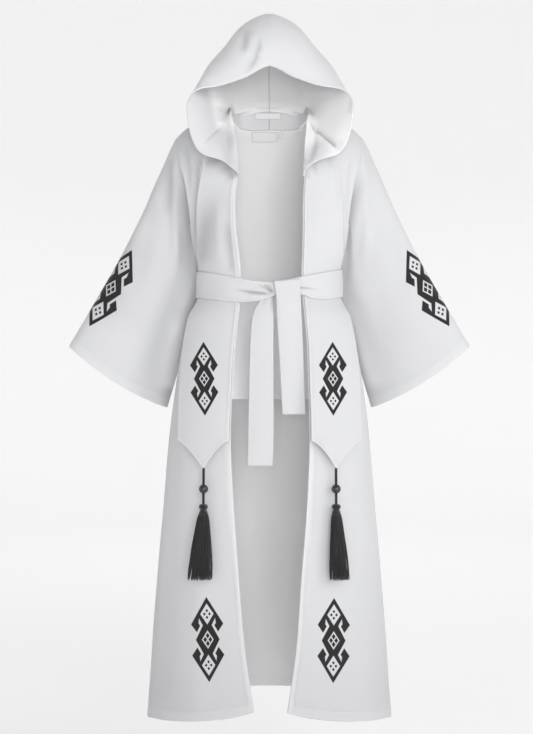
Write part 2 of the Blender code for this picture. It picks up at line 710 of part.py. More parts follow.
def tassel(name, side, top):
    """A tassel's head with its skirt of strands, which grow out of the head's underside."""
    shape = bmesh.new()
    radius = HEAD_WIDTH / 2
    grid = []
    for i in range(STRAND_GRID + 1):
        places = [disc_point(i, j, radius) for j in range(STRAND_GRID + 1)]
        grid.append([shape.verts.new((x, y, -HEAD_LENGTH)) for x, y in places])
    cells = []
    for i in range(STRAND_GRID):
        for j in range(STRAND_GRID):
            corners = (grid[i][j], grid[i + 1][j], grid[i + 1][j + 1], grid[i][j + 1])
            cells.append(shape.faces.new(corners))
    last = STRAND_GRID
    rim = [(i, 0) for i in range(last)] + [(last, j) for j in range(last)]
    rim += [(i, last) for i in range(last, 0, -1)] + [(0, j) for j in range(last, 0, -1)]
    ring = [grid[i][j] for i, j in rim]
    for wide, down in zip(TASSEL_HEAD["wide"], TASSEL_HEAD["down"]):
        upper = [shape.verts.new((v.co.x * wide, v.co.y * wide, -HEAD_LENGTH * down)) for v in
                 (grid[i][j] for i, j in rim)]
        for k in range(len(ring)):
            n = (k + 1) % len(ring)
            shape.faces.new((ring[k], ring[n], upper[n], upper[k]))
        ring = upper
    shape.faces.new(ring)
    shrink = (HEAD_WIDTH / STRAND_GRID - STRAND_WIDTH) / 2
    bmesh.ops.inset_individual(shape, faces=cells, thickness=shrink * STRAND_INSET, use_even_offset=False)
    for cell in cells:
        centre = cell.calc_center_median().copy()
        place = (centre.x / radius, centre.y / radius)
        face = cell
        for step in range(1, STRAND_STEPS + 1):
            share = step / STRAND_STEPS
            wide = mix(HEAD_WIDTH / 2, SKIRT_WIDTH[side] / 2, share**SKIRT_FLARE)
            deep = mix(HEAD_WIDTH / 2, SKIRT_DEPTH / 2, share**SKIRT_FLARE)
            length = STRAND_LENGTH + STRAND_UNEVEN * math.sin(17 * place[0] + 29 * place[1])
            across = place[0] * wide + SKIRT_SWING[side] * share
            target = (across, place[1] * deep, -HEAD_LENGTH - length * share)
            made = bmesh.ops.extrude_discrete_faces(shape, faces=[face])["faces"]
            face = made[0]
            middle = face.calc_center_median()
            for vert in face.verts:
                for axis in range(3):
                    vert.co[axis] += target[axis] - middle[axis]
                vert.co.z = target[2]
    bmesh.ops.recalc_face_normals(shape, faces=shape.faces)
    mesh = bpy.data.meshes.new(name)
    shape.to_mesh(mesh)
    shape.free()
    item = place_object(name, mesh, BLACK, THREAD_ROUGHNESS)
    item.location = top
    item.rotation_euler = (-math.atan(TASSEL_LEAN), 0, 0)


def clear_scene():
    for item in list(bpy.data.objects):
        bpy.data.objects.remove(item)
    group = bpy.data.collections.new("kaftan")
    bpy.context.scene.collection.children.link(group)


def main():
    clear_scene()
    cloth("back", back_points())
    cloth("back_lining", lining_points(), colour=INSIDE)
    cloth("neck_band", band_points())
    cloth("belt_wrap", belt_points(), closed=True)
    cloth("belt_tail_left", tail_points(LEFT_TAIL, 14))
    cloth("belt_tail_right", right_tail_points())
    cloth("label_hood_seam", patch_points(band_points(), NECK_LABEL), LABEL_WALL)
    cloth("label_back", patch_points(lining_points(), BACK_LABEL), LABEL_WALL)
    cloth("label_size", patch_points(lining_points(), SIZE_TAB), LABEL_WALL)
    for side, hand in HANDS.items():
        cloth(f"front_{hand}", front_points(side))
        cloth(f"stole_{hand}", stole_points(side))
        cloth(f"sleeve_{hand}", sleeve_points(side), closed=True)
        cloth(f"hood_{hand}", hood_points(side))
        tip, direction = tassel_axis(side)
        start = tip + direction * SEAM_GAP
        end = start + direction * CORD_LENGTH
        cord(f"tassel_cord_{hand}", start, end)
        bead(f"tassel_bead_{hand}", mix(start, end, BEAD_PLACE))
        tassel(f"tassel_{hand}", side, end + direction * SEAM_GAP)


main()
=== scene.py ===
import math

import bmesh
import bpy
import numpy as np
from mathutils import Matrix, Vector
from mathutils.bvhtree import BVHTree


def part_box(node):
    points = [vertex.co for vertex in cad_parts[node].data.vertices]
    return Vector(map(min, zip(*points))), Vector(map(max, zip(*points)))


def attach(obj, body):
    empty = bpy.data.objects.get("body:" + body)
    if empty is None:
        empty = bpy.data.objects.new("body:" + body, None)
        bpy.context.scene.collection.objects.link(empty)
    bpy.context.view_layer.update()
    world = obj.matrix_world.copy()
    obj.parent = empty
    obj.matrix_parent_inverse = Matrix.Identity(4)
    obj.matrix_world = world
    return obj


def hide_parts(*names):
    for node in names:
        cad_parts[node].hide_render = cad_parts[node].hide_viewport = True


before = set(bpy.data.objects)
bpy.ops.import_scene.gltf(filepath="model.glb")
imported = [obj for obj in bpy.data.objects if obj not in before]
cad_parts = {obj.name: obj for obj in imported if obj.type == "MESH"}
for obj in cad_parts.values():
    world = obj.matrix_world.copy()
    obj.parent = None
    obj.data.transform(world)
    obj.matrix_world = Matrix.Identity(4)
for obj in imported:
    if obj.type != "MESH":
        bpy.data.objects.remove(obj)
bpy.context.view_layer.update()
print("frame loaded:", len(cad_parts), "nodes")

# Metres throughout. +Z is up and the open front faces -Y; the origin lies between the shoulders.
quarter = math.pi / 2
fullTurn = 2 * math.pi
handNames = {-1: "left", 1: "right"}
toFront, toBack = (0, -1, 0), (0, 1, 0)


def mix(a, b, share):
    return a + (b - a) * share


def eased(share):
    share = np.clip(share, 0, 1)
    return share * share * (3 - 2 * share)


def beyond(distance, reach, soft):
    # 0 up to the reach, and eased to 1 over the soft part beyond it
    return eased((distance - reach) / soft)


def raised(distance, height, reach, soft):
    # a height that is kept up to the reach
    return height * (1 - beyond(distance, reach, soft))


def ridge(distance, height, width):
    return height * np.exp(-((distance / width) ** 2))


def unit(vectors):
    length = np.linalg.norm(vectors, axis=-1, keepdims=True)
    return vectors / np.maximum(length, 1e-12)


def turnsOf(count):
    return fullTurn * np.arange(count) / count


def edged(first, low, high, count, last=()):
    # close places at the start and the end, with even ones between
    return np.concatenate([first, np.linspace(low, high, count), last])


def curveOf(places, values):
    # a smooth line through the values that never overshoots them
    places, values = np.asarray(places, float), np.asarray(values, float)
    steps = np.diff(places)
    rises = np.diff(values) / steps
    level = rises[:-1] * rises[1:] <= 0
    steep = np.where(level, 1, rises[:-1] + rises[1:])
    inner = np.where(level, 0, 2 * rises[:-1] * rises[1:] / steep)
    slopes = np.concatenate([rises[:1], inner, rises[-1:]])

    def at(x):
        x = np.clip(x, places[0], places[-1])
        i = np.clip(np.searchsorted(places, x, side="right") - 1, 0, len(steps) - 1)
        t = (x - places[i]) / steps[i]
        start = (1 + 2 * t) * (1 - t) ** 2 * values[i] + t * (1 - t) ** 2 * steps[i] * slopes[i]
        end = t * t * (3 - 2 * t) * values[i + 1] + t * t * (t - 1) * steps[i] * slopes[i + 1]
        return start + end

    return at


def curvesOf(columns, *rows):
    # a table whose first column is the place; every other column becomes a curve
    values = np.array(rows, float).T
    return {name: curveOf(values[0], line) for name, line in zip(columns.split()[1:], values[1:])}


def through(points, places):
    # points along a smooth line through these points, at places from 0 to 1
    along = np.linspace(0, 1, len(points))
    return np.stack([curveOf(along, line)(places) for line in np.asarray(points, float).T], axis=-1)


# Cloth is a grid of points: rows run down the cloth, columns run across it.

def squareTo(grid, closed=False):
    # the unit normal at each point of a grid
    if closed:
        across = np.roll(grid, -1, axis=1) - np.roll(grid, 1, axis=1)
    else:
        across = np.gradient(grid, axis=1)
    return unit(np.cross(np.gradient(grid, axis=0), across))


def facing(grid, outward=toFront, closed=False):
    # normals that point towards the outward direction, or away from the middle for a tube
    normals = squareTo(grid, closed)
    aim = grid - grid.mean(axis=1, keepdims=True) if closed else np.array(outward, float)
    return normals if (normals * aim).sum() > 0 else -normals


def distanceAlong(grid, axis):
    total = np.cumsum(np.linalg.norm(np.diff(grid, axis=axis), axis=-1), axis=axis)
    return np.concatenate([np.zeros_like(np.take(total, [0], axis=axis)), total], axis=axis)


def fromEnd(grid, axis=0):
    # the distance from the last row, or the last column
    return np.flip(distanceAlong(np.flip(grid, axis), axis), axis)


def fold(width, depth, grey, *line, **more):
    # a trough (depth above 0) or ridge along a line of x and z, seen from the front, with painted shade along it
    # where its grey is above 0 and painted light where it is below 0
    plain = {"fadeIn": 0.25, "fadeOut": 0.35, "widen": 1, "only": 0, "face": -1, "between": (-1, 1)}
    return {**plain, "line": np.array(line), "width": width, "depth": depth, "grey": grey, **more}


def foldStrength(grid, normals, crease):
    # how strongly a crease works at each point
    line = crease["line"]
    reach = distanceAlong(line, 0)
    best = np.full(grid.shape[:2], 1e9)
    share, onLeft = np.zeros((2, *grid.shape[:2]))
    for k, step in enumerate(np.diff(line, axis=0)):
        length = np.linalg.norm(step)
        flat = grid[..., (0, 2)] - line[k]
        t = np.clip((flat @ step) / (step @ step), 0, 1)
        off = np.linalg.norm(flat - t[..., None] * step, axis=-1)
        nearer = off < best
        best = np.where(nearer, off, best)
        share = np.where(nearer, (reach[k] + t * length) / reach[-1], share)
        onLeft = np.where(nearer, (step[0] * flat[..., 1] - step[1] * flat[..., 0]) / length, onLeft)
    strength = ridge(best, 1, crease["width"] * mix(1, crease["widen"], share))
    if crease["only"]:
        # sharp on one side of its line, seen along it: 1 keeps the left, -1 the right
        strength = strength * eased(crease["only"] * onLeft / 0.002 + 0.5)
    for end, fade in ((share, crease["fadeIn"]), (1 - share, crease["fadeOut"])):
        strength = strength * (eased(end / fade) if fade > 0 else 1)
    nearest, furthest = crease["between"]
    side = np.clip(crease["face"] * normals[..., 1] * 3 + 0.4, 0, 1)
    return strength * side * (grid[..., 1] > nearest) * (grid[..., 1] < furthest)


def creased(grid, normals, creases):
    # the grid with its troughs and ridges, and the painted shade and light laid along them
    moved, grey = np.zeros((2, *grid.shape[:2]))
    for crease in creases:
        strength = foldStrength(grid, normals, crease)
        moved += crease["depth"] * strength
        grey += crease["grey"] * strength
    return grid - normals * moved[..., None], grey


def rippled(grid, normals, ripples, seed):
    # slow uneven swells, so that no panel is perfectly even
    moved = np.zeros(grid.shape[:2])
    x, y, z = np.moveaxis(grid, -1, 0)
    for count, (height, acrossWave, downWave) in enumerate(ripples):
        phase = seed + 1.7 * count
        bent = 1.3 * np.sin(fullTurn * z / downWave + phase)
        uneven = 0.6 + 0.4 * np.sin(fullTurn * z / (downWave * 0.83) + 2.1 * phase)
        moved += height * np.sin(fullTurn * (x + 0.6 * y) / acrossWave + phase + bent) * uneven
    return grid + normals * moved[..., None]


hemParts = {"stitchInset": 0.0012, "stitchWidth": 0.0016, "riseOver": 0.003, "lightOver": 0.002}
hemSpots = np.array((0, 0.0012, 0.0035, 0.008, 0.014, 0.0175, 0.019, 0.02, 0.021, 0.0222, 0.024, 0.027, 0.032))


def hemmed(grid, thick, width, rise, sink):
    # the thickness of cloth with its last rows turned up and stitched, and 1 where it is doubled
    fromHem = fromEnd(grid)
    stitching = ridge(fromHem - width + hemParts["stitchInset"], sink, hemParts["stitchWidth"])
    turned = raised(fromHem, rise, width, hemParts["riseOver"])
    return thick + (turned - stitching), raised(fromHem, 1, width, hemParts["lightOver"])


def rowsNear(edgeSpots, far, step):
    # distances from an edge: close together where the hem is, then even steps
    count = max(2, int(round((far - edgeSpots[-1]) / step)))
    return np.concatenate([edgeSpots, np.linspace(edgeSpots[-1], far, count + 1)[1:]])


def quadsOf(rows, columns, closed=False):
    # the faces of a grid, joined round from the last column to the first when closed
    index = np.arange(rows * columns).reshape(rows, columns)
    beside = np.roll(index, -1, axis=1)
    last = columns if closed else columns - 1
    corners = (index[:-1, :last], index[1:, :last], beside[1:, :last], beside[:-1, :last])
    return np.stack([corner.ravel() for corner in corners], axis=1)


def addValues(mesh, name, values):
    # values that go with the mesh's points, one or three for each
    kind, field = ("FLOAT", "value") if values.ndim == 1 else ("FLOAT_VECTOR", "vector")
    mesh.attributes.new(name, kind, "POINT").data.foreach_set(field, values.astype(np.float32).ravel())


def placed(name, mesh):
    piece = bpy.data.objects.new(name, mesh)
    bpy.context.scene.collection.objects.link(piece)
    mesh.shade_smooth()
    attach(piece, "root")
    return piece


def meshOf(name, points, faces):
    mesh = bpy.data.meshes.new(name)
    mesh.from_pydata([tuple(point) for point in points], [], faces)
    mesh.validate()
    return placed(name, mesh)


def treeOf(grid, normals, lift):
    # a search tree of a grid's surface, for what is laid on it
    return BVHTree.FromPolygons((grid + normals * lift).reshape(-1, 3).tolist(), quadsOf(*grid.shape[:2]).tolist())


def clothObject(name, grid, thick, outward=toFront, closed=False, motif=None, middle=None, sewn=False, doubledAndHighlit=0.0,
                paintedShadeAndLight=0.0, paintedShadeInside=0.0):
    # a sheet with two faces and rounded edges; its grain, painted shade and light, and motif places go with every
    # point
    # a sewn sheet's last row and column are left flat, so that the sheet joined there runs on without a step
    shape = rows, columns = grid.shape[:2]
    size = rows * columns
    middle = columns // 2 if middle is None else middle
    across = distanceAlong(grid, 1)
    across = across - across[:, middle:middle + 1]
    down = np.broadcast_to(distanceAlong(grid, 0)[:, middle:middle + 1], shape)
    grain = np.stack([across, down, np.ones(shape) + doubledAndHighlit], axis=-1).reshape(-1, 3)
    paintedShadeAndLight, paintedShadeInside, thick = (np.broadcast_to(np.asarray(some, float), shape).ravel()
                                   for some in (paintedShadeAndLight, paintedShadeInside, thick))
    place = grain * 0 if motif is None else np.concatenate([motif, np.ones((*shape, 1))], axis=-1).reshape(-1, 3)
    index = np.arange(size).reshape(shape)
    flush = np.zeros(shape, bool)
    flush[-1] = flush[:, -1] = sewn
    flush = flush.ravel()
    if closed:
        rims = [(index[0], grid[0] - grid[1]), (index[-1][::-1], (grid[-1] - grid[-2])[::-1])]
    else:
        ring = np.concatenate([index[0, :-1], index[:-1, -1], index[-1, :0:-1], index[:0:-1, 0]])
        inward = np.zeros_like(grid)
        inward[0] += unit(grid[1] - grid[0])
        inward[-1] += unit(grid[-2] - grid[-1])
        inward[:, 0] += unit(grid[:, 1] - grid[:, 0])
        inward[:, -1] += unit(grid[:, -2] - grid[:, -1])
        rims = [(ring, -inward.reshape(-1, 3)[ring])]
    flat = grid.reshape(-1, 3)
    lift = facing(grid, outward, closed).reshape(-1, 3) * thick[:, None] / 2
    underside = (1, 1, -1)
    points, grains, places, paintedShadesAndLights = ([flat + lift, flat - lift], [grain, grain * underside],
                                       [place, place * underside], [paintedShadeAndLight, paintedShadeInside])
    quads = quadsOf(rows, columns, closed)
    faces = [quads, quads[:, ::-1] + size]
    start = 2 * size
    for ring, out in rims:
        bulge = np.where(flush[ring], 0, 0.42)
        points.append(flat[ring] + unit(out) * (thick[ring] * bulge)[:, None])
        for values, some in ((grains, grain), (places, place), (paintedShadesAndLights, paintedShadeAndLight)):
            values.append(some[ring])
        rim = start + np.arange(len(ring))
        nextRim, nextRing = np.roll(rim, -1), np.roll(ring, -1)
        faces.append(np.stack([ring, nextRing, nextRim, rim], axis=1))
        faces.append(np.stack([rim, nextRim, nextRing + size, ring + size], axis=1))
        start += len(ring)
    mesh = bpy.data.meshes.new(name)
    mesh.from_pydata(np.concatenate(points).tolist(), [], np.concatenate(faces).tolist())
    shell = bmesh.new()
    shell.from_mesh(mesh)
    bmesh.ops.recalc_face_normals(shell, faces=shell.faces)
    if sewn:
        onSeam = np.concatenate([flush, flush, np.zeros(start - 2 * size, bool)])
        for edge in shell.edges:
            edge.smooth = not all(onSeam[vert.index] for vert in edge.verts)
    shell.to_mesh(mesh)
    shell.free()
    addValues(mesh, "grain", np.concatenate(grains))
    # painted shade where this is above 0, painted light where it is below 0
    addValues(mesh, "paintedShadeAndLight", np.clip(np.concatenate(paintedShadesAndLights), -1, 1))
    if motif is not None:
        addValues(mesh, "motif", np.concatenate(places))
    return placed(name, mesh)


class Field:
    # one socket of a material; sums and products of fields add Math nodes
    def __init__(self, finish, socket):
        self.finish, self.socket = finish, socket

    def math(self, operation, *others):
        return self.finish.math(operation, self, *others)

    __add__ = lambda self, other: self.math("ADD", other)
    __radd__ = lambda self, other: self.finish.math("ADD", other, self)
    __sub__ = lambda self, other: self.math("SUBTRACT", other)
    __rsub__ = lambda self, other: self.finish.math("SUBTRACT", other, self)
    __mul__ = lambda self, other: self.math("MULTIPLY", other)
    __rmul__ = lambda self, other: self.finish.math("MULTIPLY", other, self)
    __truediv__ = lambda self, other: self.math("DIVIDE", other)
    __neg__ = lambda self: self.math("MULTIPLY", -1)
    __abs__ = lambda self: self.math("ABSOLUTE")
    least = lambda self, other: self.math("MINIMUM", other)
    most = lambda self, other: self.math("MAXIMUM", other)
    sine = lambda self: self.math("SINE")


class Finish:
    # a material and the nodes that its colour and relief are made of
    def __init__(self, name, **constants):
        self.material = bpy.data.materials.new(name)
        self.material.use_nodes = True
        self.tree = self.material.node_tree
        self.shader = self.tree.nodes["Principled BSDF"]
        for socket, value in constants.items():
            self.shader.inputs[socket.replace("_", " ")].default_value = value

    def node(self, kind, settings=None, sockets=None, output=0):
        made = self.tree.nodes.new(kind)
        for name, value in (settings or {}).items():
            setattr(made, name, value)
        for name, value in (sockets or {}).items():
            if isinstance(value, Field):
                self.tree.links.new(value.socket, made.inputs[name])
            else:
                made.inputs[name].default_value = value
        return Field(self, made.outputs[output])

    def math(self, operation, *values):
        return self.node("ShaderNodeMath", {"operation": operation}, dict(enumerate(values)))

    def feed(self, socket, field):
        self.tree.links.new(field.socket, self.shader.inputs[socket])

    def carried(self, name, output="Vector"):
        # what goes with the mesh's points under this name
        return self.node("ShaderNodeAttribute", {"attribute_name": name}, output=output)

    def spot(self):
        return self.node("ShaderNodeTexCoord", output="Object")

    def parts(self, vector):
        return [self.node("ShaderNodeSeparateXYZ", {}, {0: vector}, output=axis) for axis in range(3)]

    def noise(self, vector, scale, detail=2.0, rough=0.5):
        return self.node("ShaderNodeTexNoise", {"noise_dimensions": "3D"},
                         {"Vector": vector, "Scale": scale, "Detail": detail, "Roughness": rough})

    def scaled(self, vector, factors):
        return self.node("ShaderNodeVectorMath", {"operation": "MULTIPLY"}, {0: vector, 1: factors})

    def blended(self, share, first, second):
        # a colour between two colours
        return self.node("ShaderNodeMix", {"data_type": "RGBA"}, {0: share, 6: first, 7: second}, output=2)

    def ramp(self, field, low, high):
        # 0 below low, 1 above high, eased between them
        return self.node("ShaderNodeMapRange", {"interpolation_type": "SMOOTHSTEP"},
                         {"Value": field, "From Min": low, "From Max": high})

    def step(self, field, softness):
        return self.ramp(field, -softness, softness)

    def bump(self, height):
        self.feed("Normal", self.node("ShaderNodeBump", {}, {"Height": height, "Distance": 1.0, "Strength": 1.0}))


# The hooked lozenge, in halves of its own height: one quarter is drawn and mirrored both ways.
motifShape = {
    "outerSlope": 1.69, "blockSlope": 1.465, "blockDrop": 0.186, "innerSlope": 1.878, "innerDrop": 0.640,
    "middleSlope": 1.936, "middleReach": 0.538, "neckSlope": 2.06, "neckStart": 0.119,
    "hookEdge": 0.25, "hookLean": 0.13, "barbSlope": 1.571, "barbDrop": 0.071,
    "endPlace": 0.600, "endHole": (0.155, 0.245), "endSeed": (0.033, 0.041), "endSeedAt": (0.060, 0.078),
    "midHole": (0.137, 0.215), "midSeed": (0.046, 0.070), "midSeedAt": (0.060, 0.092), "softness": 0.012,
}


def motifMask(finish):
    # 1 where the motif is black
    shape = motifShape
    across, along, outer = finish.parts(finish.carried("motif"))
    x, y = abs(across), abs(along)
    lozenge = 1 - (shape["outerSlope"] * x + y)
    middle = shape["middleReach"] - shape["middleSlope"] * x - y
    neck = y - shape["neckSlope"] * x - shape["neckStart"]
    block = y - shape["blockSlope"] * x + shape["blockDrop"]
    block = block.least(y + shape["innerSlope"] * x - shape["innerDrop"])
    hook = (x + shape["hookLean"] * y - shape["hookEdge"]).most(shape["barbSlope"] * x - y + shape["barbDrop"])
    body = middle.most(neck).most(block.least(hook)).least(lozenge)

    def diamond(px, py, size):
        return 1 - (abs(px) / size[0] + abs(py) / size[1])

    def seeds(py, size, apart):
        # four dots, in a cross
        return diamond(x - apart[0], py, size).most(diamond(x, abs(py) - apart[1], size))

    ends = y - shape["endPlace"]
    soft = shape["softness"]
    hole = finish.step(diamond(x, ends, shape["endHole"]), soft * 5)
    hole = hole.most(finish.step(diamond(x, y, shape["midHole"]), soft * 6))
    dots = finish.step(seeds(ends, shape["endSeed"], shape["endSeedAt"]), soft * 16)
    dots = dots.most(finish.step(seeds(y, shape["midSeed"], shape["midSeedAt"]), soft * 12))
    return finish.step(body, soft) * (1 - hole * (1 - dots)) * finish.step(outer, 0.5)


clothLook = {
    # lit and shaded copies of one white cloth: hoodWhite, inside, backInside and lining are painted lighter than the
    # outside white, standing in for light on the hood and in the interior
    "hoodWhite": (0.69, 0.692, 0.702, 1), "white": (0.62, 0.622, 0.634, 1), "shade": (0.58, 0.583, 0.60, 1),
    "lining": (0.93, 0.93, 0.93, 1), "liningShade": (0.89, 0.89, 0.90, 1), "inside": (0.93, 0.93, 0.935, 1),
    "backInside": (0.85, 0.85, 0.85, 1), "black": (0.012, 0.0115, 0.012, 1),
    # hem is also the colour of painted light and painted highlights, crease the colour of painted shade
    "hem": (0.90, 0.90, 0.91, 1), "hemLight": 0.10, "crease": (0.26, 0.26, 0.275, 1),
    # painted shade that darkens the outside cloth towards the hem
    "paintedLowShade": 0.24, "paintedLowShadeFrom": -0.95, "paintedLowShadeTo": -1.33, "roughness": 0.84, "slubRoughness": 0.1,
    "thread": 0.0011, "slub": (240, 26), "threadHeight": 0.00007, "slubHeight": 0.00016,
    "swell": (9, 5), "swellHeight": 0.0012, "cloud": (16, 11), "cloudShare": 0.55, "slubShare": 0.5, "clear": 0.08,
    "motifGloss": 0.22, "stitchGloss": 0.04, "stitchHeight": 0.00006, "motifHeight": 0.00035,
}


def clothFinish(name, light, dark, hasMotif=False, seed=0.0, inside=None, paintedGlow=0.0):
    # plain weave with slubs and slow swells, a little sheen, and the black motif where there is one
    # turned hems show lighter as doubled cloth, and edges carry a painted highlight; inside is a paler copy of the
    # cloth for a panel's wrong side, painted light
    look = clothLook
    finish = Finish(name, Sheen_Weight=0.22, Sheen_Roughness=0.45, Specular_IOR_Level=0.28,
                    Emission_Strength=paintedGlow)
    grain = finish.carried("grain")
    across, along, side = finish.parts(grain)
    turns = fullTurn / look["thread"]
    weave = (across * turns).sine() * (along * turns).sine()
    slub = finish.noise(finish.scaled(grain, (*look["slub"], 0)), 1.0)
    slubAcross = finish.noise(finish.scaled(grain, (*look["slub"][::-1], 0)), 1.0)
    swell = finish.noise(finish.scaled(grain, (*look["swell"], 3 + seed)), 1.0, detail=3.0)
    cloud = finish.noise(finish.scaled(grain, (*look["cloud"], 2 + seed)), 1.0, detail=4.0, rough=0.6)
    height = weave * look["threadHeight"] + (slub + slubAcross) * look["slubHeight"] + swell * look["swellHeight"]
    cloudy = cloud * look["cloudShare"] + slub * slubAcross * look["slubShare"] - look["clear"]
    colour = finish.blended(cloudy, light, dark)
    colour = finish.blended((abs(side) - 1) * look["hemLight"], colour, look["hem"])
    if inside:
        colour = finish.blended(finish.step(-side, 0.5), colour, inside)
    # painted shade from the mesh darkens towards the crease colour, painted light brightens towards the hem colour
    paintedShadeAndLight = finish.carried("paintedShadeAndLight", "Fac")
    # painted shade: the cloth darkens towards the hem
    down = finish.parts(finish.spot())[2]
    low = ((down - look["paintedLowShadeFrom"]) / (look["paintedLowShadeTo"] - look["paintedLowShadeFrom"])).most(0).least(1)
    paintedLight = (-paintedShadeAndLight).most(0)
    colour = finish.blended(paintedShadeAndLight.most(0) + low * look["paintedLowShade"], colour, look["crease"])
    colour = finish.blended(paintedLight, colour, look["hem"])
    if paintedGlow:
        # painted light: the cloth glows where painted light is laid on it, standing in for light through thin cloth
        # that hangs free
        finish.feed("Emission Color", finish.blended(paintedLight, (0, 0, 0, 1), look["hem"]))
    rough = look["roughness"] + slub * look["slubRoughness"]
    if hasMotif:
        mask = motifMask(finish)
        stitch = (across * (turns * 0.5) + along * (turns * 0.5)).sine()
        colour = finish.blended(mask, colour, look["black"])
        rough = rough - mask * look["motifGloss"] + mask * stitch * look["stitchGloss"]
        height = height + mask * (stitch * look["stitchHeight"] + look["motifHeight"])
    finish.feed("Base Color", colour)
    finish.feed("Roughness", rough)
    finish.bump(height)
    return finish.material


def threadFinish(name, colour, roughness, pitch=0.0016):
    # twisted thread: slanting ridges from the piece's own coordinates
    finish = Finish(name, Sheen_Weight=0.3, Sheen_Roughness=0.4, Specular_IOR_Level=0.35)
    spot = finish.spot()
    x, y, z = finish.parts(spot)
    twist = ((x + y + z * 1.6) * (fullTurn / pitch)).sine()
    mottle = finish.noise(spot, 260.0, detail=3.0)
    brighter = tuple(min(1, channel * 1.9 + 0.01) for channel in colour[:3]) + (1,)
    finish.feed("Base Color", finish.blended(mottle * 0.7 + twist * 0.12, colour, brighter))
    finish.feed("Roughness", roughness + mottle * 0.15)
    finish.bump(twist * 0.0002 + mottle * 0.0002)
    return finish.material


def beadFinish(name):
    # a turned black bead: fine grain and a thin worn polish
    finish = Finish(name, Specular_IOR_Level=0.5)
    spot = finish.spot()
    rings = finish.noise(finish.scaled(spot, (60, 60, 700)), 1.0, detail=3.0)
    specks = finish.noise(spot, 900.0)
    finish.feed("Base Color", finish.blended(rings, (0.008, 0.008, 0.009, 1), (0.030, 0.028, 0.028, 1)))
    finish.feed("Roughness", 0.26 + rings * 0.14 + specks * 0.06)
    finish.feed("Coat Weight", 0.2 + specks * 0.2)
    finish.bump(rings * 0.00008 + specks * 0.00003)
    return finish.material


def tapeFinish(name):
    # woven satin tape: fine ribs across and painted shadow along its edges; nothing is woven into it
    finish = Finish(name, Sheen_Weight=0.15, Specular_IOR_Level=0.4)
    grain = finish.carried("grain")
    ribs = (finish.parts(grain)[0] * (fullTurn / 0.0009)).sine()
    slub = finish.noise(finish.scaled(grain, (90, 900, 0)), 1.0)
    colour = finish.blended(slub * 0.8, (0.95, 0.95, 0.955, 1), (0.90, 0.90, 0.91, 1))
    edge = finish.carried("paintedShadeAndLight", "Fac").most(0)
    finish.feed("Base Color", finish.blended(edge, colour, clothLook["crease"]))
    finish.feed("Roughness", 0.46 + slub * 0.16)
    finish.bump(ribs * 0.00008 + slub * 0.0001)
    return finish.material


white, shade = clothLook["white"], clothLook["shade"]
looks = {
    "plain": clothFinish("whiteCloth", white, shade, seed=0.3),
    "motif": clothFinish("whiteClothWithMotif", white, shade, True, seed=0.9),
    # painted light: the back's and the hood's wrong sides are paler copies of the white cloth, and the lining glows
    # with painted light
    "back": clothFinish("whiteClothPaintedLightGreyInside", white, shade, seed=0.5, inside=clothLook["backInside"]),
    "hood": clothFinish("whiteClothPaintedLightInside", clothLook["hoodWhite"], white, seed=0.7,
                        inside=clothLook["inside"]),
    "lining": clothFinish("liningCloth", clothLook["lining"], clothLook["liningShade"], seed=1.4, paintedGlow=1.0),
    "blackThread": threadFinish("blackThread", (0.010, 0.010, 0.011, 1), 0.55),
    "bead": beadFinish("blackBead"),
    "tape": tapeFinish("labelTape"),
}
print("finishes made:", len(looks))


def dress(piece, look, node):
    piece.data.materials.clear()
    piece.data.materials.append(looks[look])
    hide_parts(node)


def ringFaces(rings, around, closed=False):
    # the faces between rings of points, each ring joined end to end
    pairs = [(i, (i + 1) % rings) for i in range(rings if closed else rings - 1)]
    return [(i * around + k, i * around + (k + 1) % around, j * around + (k + 1) % around, j * around + k)
            for i, j in pairs for k in range(around)]


cameraAt = {"place": (-0.0068, -3.4, -0.558), "lens": 70, "sensor": 36}
camera = bpy.data.objects.new("camera", bpy.data.cameras.new("camera"))
camera.location = cameraAt["place"]
camera.rotation_euler = (quarter, 0, 0)
camera.data.lens = cameraAt["lens"]
camera.data.sensor_width = cameraAt["sensor"]
bpy.context.scene.collection.objects.link(camera)
bpy.context.scene.camera = camera

studio = {
    "floor": -1.62, "radius": 8.5, "flatShare": 0.72, "rimHeight": 5.2, "around": 72,
    "floorColour": (0.90, 0.90, 0.905, 1), "floorGlow": 0.21, "glowFrom": -1.0, "glowTo": 2.0,
    "world": (1.0, 1.0, 1.0, 1), "worldStrength": 0.43,
    # place, aim, size and power of each light
    "lights": {
        "keyLight": ((1.6, -4.4, 1.9), (0, 0, -0.5), (1.6, 1.6), 24),
        "fillLight": ((0, -6.2, -0.5), (0, 0, -0.5), (1.0, 1.0), 56),
        "fillLightRight": ((1.5, -6.1, 0.0), (0, 0, -0.4), (2.2, 2.6), 78),
        "sideLight": ((3.6, -2.7, 0.8), (0, 0, -0.55), (1.6, 2.2), 44),
        "floorLight": ((0, 4.6, 2.6), (0, 2.6, -1.6), (5.0, 1.5), 42),
    },
}


